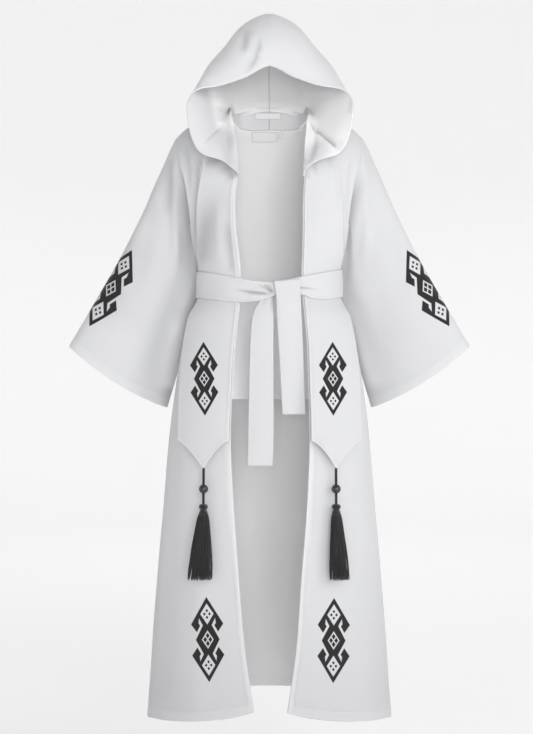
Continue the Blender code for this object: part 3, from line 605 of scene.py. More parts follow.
def studioFloor():
    # a wide pale floor whose rim curves up all round, so it has no horizon
    around, level = studio["around"], studio["flatShare"]
    rings = [(studio["radius"] * share * level + 0.02, studio["floor"]) for share in np.linspace(0, 1, 14)]
    for angle in np.linspace(0, 1, 20)[1:] * quarter:
        rings.append((studio["radius"] * (level + (1 - level) * math.sin(angle)),
                      studio["floor"] + studio["rimHeight"] * (1 - math.cos(angle))))
    points = [(r * math.cos(turn), r * math.sin(turn), z) for r, z in rings for turn in turnsOf(around)]
    mesh = bpy.data.meshes.new("studioFloor")
    mesh.from_pydata(points, [], ringFaces(len(rings), around) + [tuple(range(around - 1, -1, -1))])
    mesh.shade_smooth()
    floor = bpy.data.objects.new("studioFloor", mesh)
    bpy.context.scene.collection.objects.link(floor)
    # the floor behind the garment glows a little, as a lit paper backdrop does
    finish = Finish("paleFloor", Specular_IOR_Level=0.1, Emission_Strength=studio["floorGlow"])
    spot = finish.spot()
    behind = finish.ramp(finish.parts(spot)[1], studio["glowFrom"], studio["glowTo"])
    finish.feed("Emission Color", finish.blended(behind, (0.9, 0.9, 0.9, 1), (1, 1, 1, 1)))
    spread = finish.noise(spot, 2.0)
    low = tuple(channel * 0.995 for channel in studio["floorColour"][:3]) + (1,)
    finish.feed("Base Color", finish.blended(spread, studio["floorColour"], low))
    finish.feed("Roughness", 0.93 + spread * 0.05)
    mesh.materials.append(finish.material)


studioFloor()
for name, (place, aim, size, power) in studio["lights"].items():
    lamp = bpy.data.objects.new(name, bpy.data.lights.new(name, "AREA"))
    lamp.data.shape = "RECTANGLE"
    lamp.data.size, lamp.data.size_y = size
    lamp.data.energy = power
    lamp.location = place
    lamp.rotation_euler = (Vector(aim) - Vector(place)).to_track_quat("-Z", "Y").to_euler()
    bpy.context.scene.collection.objects.link(lamp)
world = bpy.data.worlds.new("studioWorld")
world.use_nodes = True
background = world.node_tree.nodes["Background"]
background.inputs["Color"].default_value = studio["world"]
background.inputs["Strength"].default_value = studio["worldStrength"]
bpy.context.scene.world = world
bpy.context.scene.view_settings.view_transform = "Standard"
print("studio ready")

# The body's shape, shared by the pieces that hang on it.
wall = 0.002
seamGap = 0.0003
layer = wall + seamGap

bodyShape = {
    "shoulderDrop": 0.12, "neckX": 0.092, "neckStrip": 0.004, "stoleAtShoulder": 0.136, "roundness": 2.3,
    "hemFrom": 1.0, "hem": 1.36, "hemBackFall": 0.022, "rowStep": 0.0105,
    "neckTurn": math.radians(40), "slopeGap": 0.0004, "underarm": 0.29, "liningHem": 0.636,
}
bodyCurves = curvesOf(
    "down halfWidth frontDepth backDepth stoleOut leftIn rightIn leftEdge rightEdge spread",
    (0.12, 0.250, 0.112, 0.105, 0.158, 0.0785, 0.0850, 0.0740, 0.0820, 0.00),
    (0.17, 0.234, 0.117, 0.110, 0.166, 0.0860, 0.0810, 0.0800, 0.0780, 0.00),
    (0.22, 0.214, 0.120, 0.112, 0.168, 0.0860, 0.0807, 0.0790, 0.0777, 0.02),
    (0.29, 0.1772, 0.121, 0.108, 0.168, 0.0800, 0.0795, 0.0720, 0.0765, 0.06),
    (0.34, 0.166, 0.114, 0.099, 0.163, 0.0745, 0.0780, 0.0670, 0.0750, 0.00),
    (0.39, 0.167, 0.115, 0.099, 0.164, 0.0715, 0.0795, 0.0665, 0.0760, 0.00),
    (0.44, 0.193, 0.128, 0.112, 0.183, 0.0760, 0.0840, 0.0720, 0.0810, 0.04),
    (0.51, 0.2065, 0.137, 0.128, 0.199, 0.0830, 0.0900, 0.0795, 0.0870, 0.07),
    (0.60, 0.2215, 0.148, 0.142, 0.206, 0.0880, 0.0925, 0.0850, 0.0895, 0.08),
    (0.72, 0.237, 0.158, 0.155, 0.2085, 0.0925, 0.0953, 0.0894, 0.0920, 0.08),
    (0.86, 0.248, 0.170, 0.168, 0.212, 0.0870, 0.0900, 0.0830, 0.0865, 0.06),
    (1.04, 0.264, 0.183, 0.180, 0.220, 0.0760, 0.0780, 0.0700, 0.0725, 0.04),
    (1.20, 0.277, 0.193, 0.190, 0.226, 0.0640, 0.0680, 0.0570, 0.0615, 0.02),
    (1.36, 0.2885, 0.203, 0.200, 0.230, 0.0450, 0.0500, 0.0360, 0.0410, 0.00),
)
shoulderLine = curveOf((0, 0.05, 0.092, 0.15, 0.192, 0.2177), (0.060, 0.053, 0.034, 0.021, 0.010, -0.012))
armholeLine = curveOf((0.012, 0.077, 0.12, 0.16, 0.21, 0.256, 0.29),
                      (0.2177, 0.212, 0.1990, 0.1917, 0.1853, 0.1813, 0.1772))
frontHem = curveOf((0.12, 0.16, 0.24, 0.32, 0.40, 0.52, 0.64, 0.76, 0.88, 0.94, 1.0),
                   (-0.0295, -0.0260, -0.0190, -0.0138, -0.0097, -0.0044, -0.0002, 0.0038, 0.0086, 0.0118, 0.0220))
power = 2 / bodyShape["roundness"]
overEdge = quarter - 1e-9


def turnAt(across, halfWidth):
    return np.arcsin(np.clip(across / halfWidth, 0, 1) ** (1 / power))


class BodyRows:
    # the body's rows: over the shoulder first, then down to the hem; down may be given per row
    def __init__(self, overs, downs=()):
        self.over = np.concatenate([overs, np.full(len(downs), quarter)])[:, None]
        self.down = np.concatenate([np.full(len(overs), bodyShape["shoulderDrop"]), downs])[:, None]

    def line(self, name, atShoulder):
        return mix(atShoulder, bodyCurves[name](self.down), 1 - np.cos(self.over))

    def sideTurn(self):
        overDown = -mix(shoulderLine(1.0), -bodyShape["shoulderDrop"], 1 - np.cos(self.over))
        down = np.where(self.over < overEdge, overDown, self.down)
        turn = turnAt(armholeLine(down), bodyCurves["halfWidth"](self.down))
        return np.where(self.down >= bodyShape["underarm"] - 1e-9, quarter, turn)

    def surface(self, face, side, turn):
        return bodySurface(face, side, self.over, self.down, turn)


def bodySurface(face, side, over, down, turn, spread=0.0):
    shape = bodyShape
    halfWidth = bodyCurves["halfWidth"](down) * (1 + spread)
    across = halfWidth * np.sin(turn) ** power
    deep = bodyCurves["frontDepth" if face < 0 else "backDepth"](down) * np.maximum(0, np.cos(turn)) ** power
    share = across / halfWidth
    fall = frontHem(share) if face < 0 else shape["hemBackFall"] * share**2
    hanging = -down - fall * beyond(down, shape["hemFrom"], shape["hem"] - shape["hemFrom"])
    sloping = mix(shoulderLine(across), -shape["shoulderDrop"], 1 - np.cos(over))
    y = face * (deep * np.sin(over) + seamGap / 2 + shape["slopeGap"] * np.cos(over))
    return np.stack(np.broadcast_arrays(side * across, y, np.where(over < overEdge, sloping, hanging)), axis=-1)


def evenRows(lastDown):
    step, drop = bodyShape["rowStep"], bodyShape["shoulderDrop"]
    fromHem = rowsNear(hemSpots, lastDown - drop - step, step)
    return BodyRows(np.linspace(0, quarter, 13)[:-1], np.concatenate([[drop], (lastDown - fromHem)[::-1]]))


frontParts = {
    # a hem is its width, its rise and its stitching's depth; an edge is its height, its reach and its softness
    "columns": 46, "rim": (0, 0.006, 0.016), "hem": (0.021, 0.0010, 0.0011), "edge": (0.0011, 0.005, 0.004),
    "edgeLight": (2.2, 0.009, 0.002), "calm": (0.42, 0.2), "ripples": ((0.0007, 0.16, 0.75), (0.0005, 0.09, 0.42)),
    # greys are painted shade: in the armhole folds and beside the stole's outer edge
    "leftCreases": [
        fold(0.016, 0.0045, 0, (-0.212, -0.5), (-0.222, -0.78), (-0.236, -1.05), (-0.25, -1.33), fadeOut=0.05,
             widen=1.6),
        fold(0.02, -0.0035, 0, (-0.15, -0.82), (-0.158, -1.05), (-0.168, -1.36), fadeOut=0.05, widen=1.5),
        fold(0.0065, 0.003, 0.24, (-0.196, -0.035), (-0.188, -0.1), (-0.187, -0.165)),
        fold(0.012, 0.0016, 0.56, (-0.1545, -0.07), (-0.1605, -0.101), (-0.165, -0.1534), (-0.169, -0.2087),
             (-0.17, -0.3), fadeIn=0.1, only=-1),
    ],
    "rightCreases": [
        fold(0.018, 0.0035, 0, (0.215, -0.52), (0.228, -0.8), (0.246, -1.1), (0.262, -1.34), fadeOut=0.05,
             widen=1.5),
        fold(0.022, -0.003, 0, (0.15, -0.85), (0.16, -1.1), (0.172, -1.36), fadeOut=0.05, widen=1.5),
        fold(0.005, 0.0022, 0.1, (0.192, -0.05), (0.184, -0.11), (0.181, -0.19), (0.177, -0.27)),
        fold(0.004, 0.001, 0.22, (0.16, -0.11), (0.166, -0.17), (0.17, -0.24), (0.168, -0.32), only=1),
    ],
}
# each motif's middle, half height and lean, in the picture's own units
skirtMotif = {-1: {"centre": (207.9, 639.5), "half": 42.7, "lean": 0.035},
              1: {"centre": (333.5, 640.5), "half": 42.7, "lean": -0.010}}
stoleMotif = {-1: {"centre": (204.4, 378.8), "half": 37.0, "lean": 0.02},
              1: {"centre": (332.8, 378.8), "half": 37.0, "lean": 0.01}}
picture = {"centreU": 266.5, "centreV": 367.0, "focal": 1427.2}


def motifPlaces(grid, motif):
    # where each point is on the motif, as the camera sees the cloth
    x, y, z = np.moveaxis(grid - cameraAt["place"], -1, 0)
    scale = picture["focal"] / y
    du = (picture["centreU"] + x * scale - motif["centre"][0]) / motif["half"]
    dv = (motif["centre"][1] - (picture["centreV"] - z * scale)) / motif["half"]
    return np.stack([du + dv * motif["lean"], dv - du * motif["lean"]], axis=-1)


def makeFronts():
    parts = frontParts
    rows = evenRows(bodyShape["hem"])
    shares = edged(parts["rim"], 0.03, 1, parts["columns"] - 3)[None, :]
    for side, hand in handNames.items():
        # turns from the front edge to the side seam
        edge = turnAt(rows.line(hand + "Edge", bodyShape["neckX"]), bodyCurves["halfWidth"](rows.down))
        grid = rows.surface(-1, side, mix(edge, rows.sideTurn(), shares))
        normals = facing(grid)
        # what lies under the stole sinks with the stole's own troughs
        under = [{**crease, "grey": 0, "depth": max(0, crease["depth"])} for crease in stoleParts[hand + "Creases"]]
        grid, grey = creased(grid, normals, parts[hand + "Creases"] + under)
        waved = rippled(grid, normals, parts["ripples"], 0.4 * side)
        grid = mix(grid, waved, beyond(rows.down, *parts["calm"])[..., None])
        fromEdge = distanceAlong(grid, 1)
        thick, doubledAndHighlit = hemmed(grid, wall, *parts["hem"])
        # the painted highlight along the front edge rides with the hem's doubling, and the greys are painted shade
        piece = clothObject("front_cloth_" + hand, grid, thick + raised(fromEdge, *parts["edge"]), middle=0,
                            doubledAndHighlit=np.maximum(doubledAndHighlit, raised(fromEdge, *parts["edgeLight"])), paintedShadeAndLight=grey,
                            motif=motifPlaces(grid, skirtMotif[side]))
        dress(piece, "motif", "front_" + hand)


stoleParts = {
    "columns": 29, "rows": 58, "most": 0.93, "tip": 0.455, "corner": 0.72, "cornerFall": 0.006, "tipDrop": 0.062,
    "tipPower": 1.5, "hangFrom": 0.44, "hang": 0.012, "lift": 0.0006, "edge": (0.0012, 0.0045, 0.002),
    "edgeLight": (1.8, 0.003, 0.002), "outerLight": (1, 0.003, 0.002),
    "calm": (0.45, 0.15), "ripples": ((0.0005, 0.13, 0.50),),
    "rim": (0, 0.012, 0.03, 0.045, 0.06), "farRim": (0.94, 0.955, 0.97, 0.988, 1),
    "endRows": (0.15, 0.32, 0.48, 0.62, 0.74, 0.83, 0.885, 0.92, 0.945, 0.965, 0.985, 1.0),
    # greys are painted shade: in the troughs, broad over the left chest, and under the hood's lower edge; entries of
    # depth 0 are painted shade only
    "leftCreases": [
        fold(0.022, 0.003, 0.44, (-0.139, -0.15), (-0.143, -0.18), (-0.149, -0.225), (-0.156, -0.28),
             (-0.16, -0.33), fadeIn=0.5, fadeOut=0.2),
        fold(0.045, 0, 0.15, (-0.115, -0.11), (-0.115, -0.34), fadeIn=0.3),
        fold(0.009, 0.0035, 0.24, (-0.099, -0.215), (-0.0975, -0.26), (-0.092, -0.3), (-0.088, -0.345),
             fadeOut=0.15),
        fold(0.011, -0.003, 0, (-0.118, -0.16), (-0.12, -0.24), (-0.116, -0.33)),
        fold(0.01, 0.0005, 0.52, (-0.149, -0.076), (-0.118, -0.085), (-0.095, -0.101), (-0.083, -0.129),
             fadeIn=0.1, fadeOut=0.05),
    ],
    "rightCreases": [
        fold(0.01, 0.0018, 0, (0.148, -0.12), (0.152, -0.2), (0.149, -0.3)),
        fold(0.014, -0.0014, 0, (0.11, -0.15), (0.112, -0.24), (0.109, -0.32)),
        fold(0.004, 0, 0.3, (0.148, -0.083), (0.115, -0.093), (0.095, -0.108), (0.085, -0.129), fadeIn=0.1,
             fadeOut=0.05),
    ],
}


def stoleTurns(side, rows, halfWidth, shares):
    # turns across the stole, with a column that runs down to its point
    innerX = rows.line(handNames[side] + "In", bodyShape["neckX"] + bodyShape["neckStrip"])
    outerX = rows.line("stoleOut", bodyShape["stoleAtShoulder"])
    inner, tip, outer = (turnAt(x, halfWidth) for x in (innerX, mix(innerX, outerX, stoleParts["tip"]), outerX))
    turns = np.where(shares <= 0.5, mix(inner, tip, shares * 2), mix(tip, outer, shares * 2 - 1))
    return turns, inner, outer


def stoleBlock(side, rows, shares, falls):
    # some of the stole's rows, laid over the front; falls draws the last ones out into the point
    parts, corner = stoleParts, stoleParts["corner"]
    halfWidth = bodyCurves["halfWidth"](rows.down)
    turns, inner, outer = stoleTurns(side, rows, halfWidth, shares)
    turns = mix(inner, turns, np.minimum(1, (rows.sideTurn() - inner) * parts["most"] / (outer - inner)))
    plain = rows.surface(-1, side, turns)
    ahead = bodySurface(-1, side, rows.over, rows.down + 0.004, turns)
    over = bodySurface(-1, side, np.minimum(rows.over + 0.02, quarter - 1e-6), rows.down, turns)
    along = np.where((rows.over < overEdge)[..., None], over, ahead) - plain
    normals = unit(np.cross(along, rows.surface(-1, side, turns + 0.01) - plain))
    normals = normals * np.sign((normals * (0, -1, 0.3)).sum(axis=-1, keepdims=True))
    near = 1 - np.abs(2 * shares - 1)
    down = rows.down + (parts["cornerFall"] + parts["tipDrop"] * near ** parts["tipPower"]) * falls
    spread = bodyCurves["spread"](down) * eased((rows.over / quarter) ** 2)
    wideTurns = stoleTurns(side, rows, halfWidth * (1 + spread), shares)[0]
    grid = bodySurface(-1, side, rows.over, down, wideTurns, spread) + normals * (layer + parts["lift"])
    grid[..., 1] -= parts["hang"] * beyond(down, parts["hangFrom"], corner - parts["hangFrom"])
    return grid


def makeStoles():
    parts = stoleParts
    shares = edged(parts["rim"], 0.08, 0.92, parts["columns"] - 10, parts["farRim"])[None, :]
    downs = np.linspace(parts["corner"], bodyShape["shoulderDrop"], parts["rows"])[::-1]
    rows = BodyRows(np.linspace(0, quarter, 13)[:-1], downs)
    endRows = BodyRows((), np.full(len(parts["endRows"]), parts["corner"]))
    for side, hand in handNames.items():
        grid = np.concatenate([stoleBlock(side, rows, shares, 0),
                               stoleBlock(side, endRows, shares, np.array(parts["endRows"])[:, None])])
        normals = facing(grid)
        grid, grey = creased(grid, normals, parts[hand + "Creases"])
        loose = beyond(-grid[..., 2:], *parts["calm"])
        grid = mix(grid, rippled(grid, normals, parts["ripples"], 0.7 * side), loose)
        across, toEnd = distanceAlong(grid, 1), fromEnd(grid)
        nearEdge = np.minimum(np.minimum(across, fromEnd(grid, 1)), toEnd)
        # painted highlight along the stole's edges, strongest along its inner edge and its end
        light = raised(np.minimum(across, toEnd), *parts["edgeLight"])
        light = np.maximum(light, raised(nearEdge, *parts["outerLight"]))
        piece = clothObject("stole_cloth_" + hand, grid, wall + raised(nearEdge, *parts["edge"]), doubledAndHighlit=light,
                            paintedShadeAndLight=grey, motif=motifPlaces(grid, stoleMotif[side]))
        dress(piece, "motif", "stole_" + hand)


backParts = {
    "columns": 47, "hem": (0.018, 0.0010, 0.0010), "calm": (0.42, 0.2),
    "ripples": ((0.0008, 0.21, 0.80), (0.0005, 0.11, 0.47)),
    "creases": [
        fold(0.02, -0.004, 0, (-0.1, -0.42), (-0.12, -0.75), (-0.15, -1.3), fadeOut=0.05, widen=1.8, face=1),
        fold(0.02, -0.004, 0, (0.11, -0.43), (0.13, -0.78), (0.17, -1.32), fadeOut=0.05, widen=1.8, face=1),
        fold(0.024, 0.004, 0, (0.0, -0.44), (0.005, -0.8), (0.0, -1.33), fadeOut=0.05, widen=1.6, face=1),
        fold(0.014, 0.003, 0, (-0.05, -0.1), (-0.11, -0.24), (-0.13, -0.33), face=1),
        fold(0.014, 0.003, 0, (0.06, -0.12), (0.12, -0.25), (0.14, -0.33), face=1),
    ],
}
backShares = np.linspace(0, 1, backParts["columns"])


def neckOver(across):
    # how far over the shoulder the back begins, so that its neckline is round
    return bodyShape["neckTurn"] * np.sqrt(np.maximum(0, 1 - (across / bodyShape["neckX"]) ** 4))


def backGrid(rows):
    # two halves, each from the middle out, joined; the normals are those of the cloth before its folds
    turns = mix(0, rows.sideTurn(), backShares[None, :])
    over = mix(neckOver(bodyCurves["halfWidth"](rows.down) * np.sin(turns) ** power), quarter, rows.over / quarter)
    over = np.where(rows.over >= overEdge, quarter, over)
    left, right = (bodySurface(1, side, over, rows.down, turns) for side in handNames)
    grid = np.concatenate([left[:, :0:-1], right], axis=1)
    normals = facing(grid, toBack)
    return creased(grid, normals, backParts["creases"])[0], normals


def makeBack():
    parts = backParts
    rows = evenRows(bodyShape["hem"])
    grid, normals = backGrid(rows)
    loose = beyond(rows.down, *parts["calm"])[..., None]
    grid = mix(grid, rippled(grid, normals, parts["ripples"], 2.2), loose)
    thick, doubledAndHighlit = hemmed(grid, wall, *parts["hem"])
    piece = clothObject("back_cloth", grid, thick, outward=toBack, doubledAndHighlit=doubledAndHighlit)
    dress(piece, "back", "back")


liningParts = {
    "hem": (0.018, 0.0012, 0.0009), "wall": 0.0015, "gap": 0.0004, "standOff": 0.004, "loose": (0.45, 0.19),
    "ripples": ((0.0007, 0.12, 0.55),), "seamPlace": 0.0035, "seamGrey": (0.28, 0.0013), "seamReach": (1, 0.05, 0.03),
    "glowFrom": 0.375, "glowOver": 0.02, "glow": 0.075, "glowLow": 0.16, "glowLeft": 0.19,
    "leftReach": (1, -0.105, 0.055),
}


def makeLining():
    parts = liningParts
    rows = evenRows(bodyShape["liningHem"])
    back = backGrid(rows)[0]
    inward = facing(back)[:, 2:-2]
    grid = back[:, 2:-2] + inward * (layer + parts["gap"])
    loose = beyond(rows.down, *parts["loose"])[..., None]
    grid = grid + inward * parts["standOff"] * loose
    grid = mix(grid, rippled(grid, inward, parts["ripples"], 3.1), loose)
    grid[..., 1] = np.maximum(grid[..., 1], 0.0014 * (rows.over < 0.2))
    thick, doubledAndHighlit = hemmed(grid, parts["wall"], *parts["hem"])
    # painted light: the free part under the belt is painted paler and glows, more to the left and towards the hem
    x, down = grid[..., 0], -grid[..., 2]
    low = np.clip((down - parts["glowFrom"]) / (bodyShape["liningHem"] - parts["glowFrom"]), 0, 1)
    left = raised(x, *parts["leftReach"])
    glow = parts["glow"] + left * (parts["glowLeft"] + parts["glowLow"] * low)
    glow = glow * beyond(down, parts["glowFrom"], parts["glowOver"])
    # painted shade along the seam at its top
    seam = ridge(distanceAlong(grid, 0) - parts["seamPlace"], *parts["seamGrey"])
    seam = seam * raised(np.abs(x), *parts["seamReach"])
    piece = clothObject("lining_cloth", grid, thick, doubledAndHighlit=doubledAndHighlit, paintedShadeAndLight=seam - glow)
    dress(piece, "lining", "back_lining")
    return grid


makeFronts()
makeStoles()
makeBack()
liningSurface = makeLining()
print("fronts, stoles, back and lining hung")

sleeveParts = {
    "rows": 78, "columns": 120, "hemShare": 0.0579, "hemReach": 0.034, "length": 0.72, "settles": 0.3, "lead": 0.10,
    "flatness": 0.85, "sag": 0.014, "crowding": 1.15, "way": (0.45, 0.2, -0.87), "underarmGap": 0.0018,
    "tuckIn": 0.012, "tuckBack": 0.012, "tuckRound": (0.72, 0.28), "tuckFrom": 0.06, "tuckReach": (1, 0.20, 0.25),
    "hem": (0.0195, 0.0010, 0.0011),
    "seamAllowance": ((0.008, -0.0034), (0.004, -0.0032), (0.0012, -0.0026)), "seamWall": 0.0012,
    "ringDowns": (0.12, 0.16, 0.20, 0.24, 0.27, 0.29),
}
sleeveCurves = curvesOf(
    "along topX topDown lowX lowY lowDown depth",
    (0.00, 0.2177, 0.012, 0.178, 0.000, 0.290, 0.074),
    (0.25, 0.282, 0.150, 0.166, 0.058, 0.385, 0.062),
    (0.50, 0.346, 0.284, 0.196, 0.070, 0.475, 0.058),
    (0.75, 0.411, 0.398, 0.221, 0.062, 0.565, 0.054),
    (1.00, 0.475, 0.508, 0.247, 0.045, 0.654, 0.050),
)
# long folds: how far round from the outer fold (1 is the underarm, the back runs on to 2), width, depth
sleeveFolds = {
    -1: ((0.66, 0.09, 0.010), (1.42, 0.10, 0.008)),
    1: ((0.77, 0.09, 0.009), (1.36, 0.10, 0.008)),
}
# greys are painted shade along the folds and at the armhole, and entries of depth 0 are painted shade only; greys
# below 0 are painted light where the sleeve tucks in by the body
sleeveCreases = {
    -1: [
        fold(0.011, -0.007, 0, (-0.214, -0.03), (-0.2185, -0.1), (-0.2195, -0.2), (-0.2215, -0.29),
             (-0.23, -0.38)),
        fold(0.006, 0, 0.4, (-0.2115, -0.043), (-0.204, -0.104), (-0.194, -0.15), fadeIn=0.2),
        fold(0.012, 0.005, 0.2, (-0.238, -0.05), (-0.24, -0.13), (-0.244, -0.22)),
        fold(0.016, 0.011, 0.62, (-0.208, -0.07), (-0.205, -0.125), (-0.199, -0.19), (-0.192, -0.26),
             (-0.186, -0.34), (-0.188, -0.43), fadeIn=0.3, fadeOut=0.6, widen=1.2),
        fold(0.022, 0.0045, 0.05, (-0.275, -0.14), (-0.29, -0.26), (-0.31, -0.4)),
        fold(0.022, -0.0035, 0, (-0.33, -0.3), (-0.352, -0.4), (-0.372, -0.52)),
        fold(0.07, 0, 0.22, (-0.33, -0.22), (-0.36, -0.36), (-0.41, -0.48)),
        fold(0.026, 0, -0.9, (-0.2, -0.42), (-0.215, -0.52), (-0.235, -0.62), fadeIn=0.3, fadeOut=0.1),
    ],
    1: [
        fold(0.011, 0.01, 0.34, (0.2085, -0.07), (0.206, -0.14), (0.196, -0.18), (0.188, -0.23), (0.179, -0.3),
             (0.18, -0.36), (0.195, -0.44), fadeIn=0.25, fadeOut=0.6, widen=1.3),
        fold(0.014, -0.006, 0, (0.22, -0.035), (0.226, -0.12), (0.228, -0.22), (0.226, -0.34)),
        fold(0.024, 0.0035, 0, (0.275, -0.15), (0.292, -0.28), (0.318, -0.42)),
        fold(0.0085, 0, 0.4, (0.206, -0.12), (0.2005, -0.165), (0.195, -0.21), (0.1885, -0.255), (0.183, -0.31),
             fadeIn=0.3, fadeOut=0.4),
        fold(0.036, 0, -0.44, (0.222, -0.3), (0.225, -0.38), (0.226, -0.48), (0.245, -0.62), fadeIn=0.6,
             fadeOut=0.1),
    ],
}
sleeveMotif = {"along": 0.670, "half": 0.1025, "inFront": 0.0190}


def armholeRing(side, count):
    # points round the armhole, from the shoulder down the front and up the back, and how the cloth leaves each
    angle = turnsOf(count)
    turned = np.minimum(angle, fullTurn - angle) / math.pi * 9
    rows = BodyRows((), np.interp(turned, (4, 5, 6, 7, 8, 9), sleeveParts["ringDowns"]))
    rows.over = quarter * np.minimum(1, turned / 4)[:, None]
    ends = []
    for inwards in (0.0, 0.12):
        front, back = (rows.surface(face, side, rows.sideTurn() - inwards)[:, 0] for face in (-1, 1))
        ends.append(np.where((angle <= math.pi)[:, None], front, back))
    ring, before = ends
    ring[[0, count // 2], 1] = 0
    leave = unit(ring - before)
    way = unit(mix(leave, np.array(sleeveParts["way"]) * (side, 1, 1), ((turned / 9) ** 2)[:, None]))
    outward = unit(np.cross(np.roll(ring, -1, axis=0) - np.roll(ring, 1, axis=0), leave))
    outward *= np.sign((outward * (ring - (side * 0.05, 0, -0.15))).sum(axis=1, keepdims=True))
    return ring, way, angle, leave, outward


def sleeveMotifPlaces(grid, along, angle, share, top, low, extra):
    # the motif lies flat over the outer fold, its axis a little in front of it
    fromFold = share * np.linalg.norm(top - low, axis=-1) * np.where(angle <= math.pi, 1, -1)[None, :]
    skew = (unit(low - top)[:, 0] @ unit(np.diff(top[:, 0], axis=0)).mean(axis=0))[:, None]
    fromFold, skew = (np.concatenate([values[:extra], values]) for values in (fromFold, skew))
    foldLength = distanceAlong(grid, 0)[:, :1]
    centre = np.interp(sleeveMotif["along"], along[:, 0], foldLength[extra:, 0])
    across = fromFold * np.sqrt(1 - skew**2) - sleeveMotif["inFront"]
    return np.stack([across, centre - foldLength - np.abs(fromFold) * skew], axis=-1) / sleeveMotif["half"]


def makeSleeves():
    parts = sleeveParts
    body = np.linspace(0, 1, parts["rows"]) ** parts["crowding"]
    hemRows = 1 - rowsNear(hemSpots, parts["hemReach"], 0.01)[::-1] / parts["length"]
    along = np.concatenate([body[body < 1 - parts["hemShare"]], hemRows])[:, None]
    cut = {name: line(along) for name, line in sleeveCurves.items()}
    for side, hand in handNames.items():
        ring, ways, angle, leave, outward = armholeRing(side, parts["columns"])
        depth = np.broadcast_to(cut["depth"], (len(along), len(angle)))
        for place, width, deep in sleeveFolds[side]:
            depth = depth - ridge(angle[None, :] / math.pi - place, deep, width) * np.sin(math.pi * along)
        sine = np.sin(angle)[None, :]
        share = (1 - np.cos(angle))[None, :] / 2
        top = np.stack([side * cut["topX"], 0 * along, -cut["topDown"]], axis=-1)
        low = np.stack([side * cut["lowX"], cut["lowY"], -cut["lowDown"]], axis=-1)
        shaped = mix(top, low, share[..., None])
        shaped[..., 1] -= np.sign(sine) * np.abs(sine) ** parts["flatness"] * depth
        shaped[..., 2] -= parts["sag"] * sine**2 * along**3
        gap = seamGap + parts["underarmGap"] * np.sin(angle / 2)[None, :] ** 2
        led = ring[None] + ways[None] * (gap + along * parts["lead"])[..., None]
        grid = mix(led, shaped, eased(along / parts["settles"])[..., None])
        # under the arm the cloth is tucked behind the garment's side
        tuck = beyond(share, *parts["tuckRound"]) * raised(along, *parts["tuckReach"])
        tuck = tuck * eased(along / parts["tuckFrom"])
        grid[..., 0] -= side * parts["tuckIn"] * tuck
        grid[..., 1] += parts["tuckBack"] * tuck
        grid, grey = creased(grid, facing(grid, closed=True), sleeveCreases[side])
        turnedIn = np.array([ring - leave * deep + outward * sink for deep, sink in parts["seamAllowance"]])
        extra = len(turnedIn)
        grid = np.concatenate([turnedIn, grid])
        thick, doubledAndHighlit = hemmed(grid, wall, *parts["hem"])
        thick[:extra] = parts["seamWall"]
        piece = clothObject("sleeve_cloth_" + hand, grid, thick, closed=True, middle=0, doubledAndHighlit=doubledAndHighlit,
                            motif=sleeveMotifPlaces(grid, along, angle, share, top, low, extra),
                            paintedShadeAndLight=np.pad(grey, ((extra, 0), (0, 0))))
        dress(piece, "motif", "sleeve_" + hand)


makeSleeves()
print("sleeves hung")

bandParts = {
    "lean": (-0.35, -0.9, 0.3), "halfColumns": 37, "end": (0.980, 0.988, 0.995, 1), "rows": 14,
    "seam": (0.0009, 0.0012), "seamGrey": (0.45, 0.0011), "grey": 0.24,
}
bandWidth = curveOf((0, 0.5, 0.85, 1), (0.008, 0.018, 0.041, 0.044))


def neckline(side):
    # from the foot of the front's neck over the shoulder to the middle of the back
    neckX, drop = bodyShape["neckX"], bodyShape["shoulderDrop"]
    halfWidth = bodyCurves["halfWidth"](drop)
    rows = BodyRows(np.linspace(0, quarter, 5)[:0:-1])
    front = rows.surface(-1, side, turnAt(rows.line(handNames[side] + "Edge", neckX), halfWidth))[:, 0]
    turns = turnAt(neckX, halfWidth) * np.array((2 / 3, 1 / 3, 0))
    backs = bodySurface(1, side, neckOver(halfWidth * np.sin(turns) ** power), np.full(3, drop), turns)
    return np.concatenate([front, [(side * neckX, 0, float(shoulderLine(neckX)))], backs])


def bandEdge(side, lift, further, places):
    # a line along the neck band, at a lift from its seam (0) to its top (1)
    line = neckline(side)
    share = np.linspace(0, 1, len(line))
    lean = np.array(bandParts["lean"]) * (side, 1, 1)
    towards = unit(mix(lean, np.array((0, 0, 1.0)), eased(share * 2)[:, None]))
    width = mix(seamGap + wall / 2, bandWidth(share)[:, None], lift)
    return through(line + towards * (width + further), places)


def makeBand():
    parts = bandParts
    places = edged((), 0, 0.97, parts["halfColumns"], parts["end"])
    grid = np.array([np.concatenate([bandEdge(-1, lift, 0, places)[:-1], bandEdge(1, lift, 0, places)[::-1]])
                     for lift in np.linspace(0, 1, parts["rows"])])
    across, middle = distanceAlong(grid, 1), len(places) - 1
    fromMiddle = np.abs(across - across[:, middle:middle + 1])
    # painted shade over the band's inside and along its centre-back seam
    piece = clothObject("neck_band_cloth", grid, wall - ridge(fromMiddle, *parts["seam"]), outward=toBack,
                        paintedShadeInside=parts["grey"] + ridge(fromMiddle, *parts["seamGrey"]))
    dress(piece, "hood", "neck_band")
    return grid


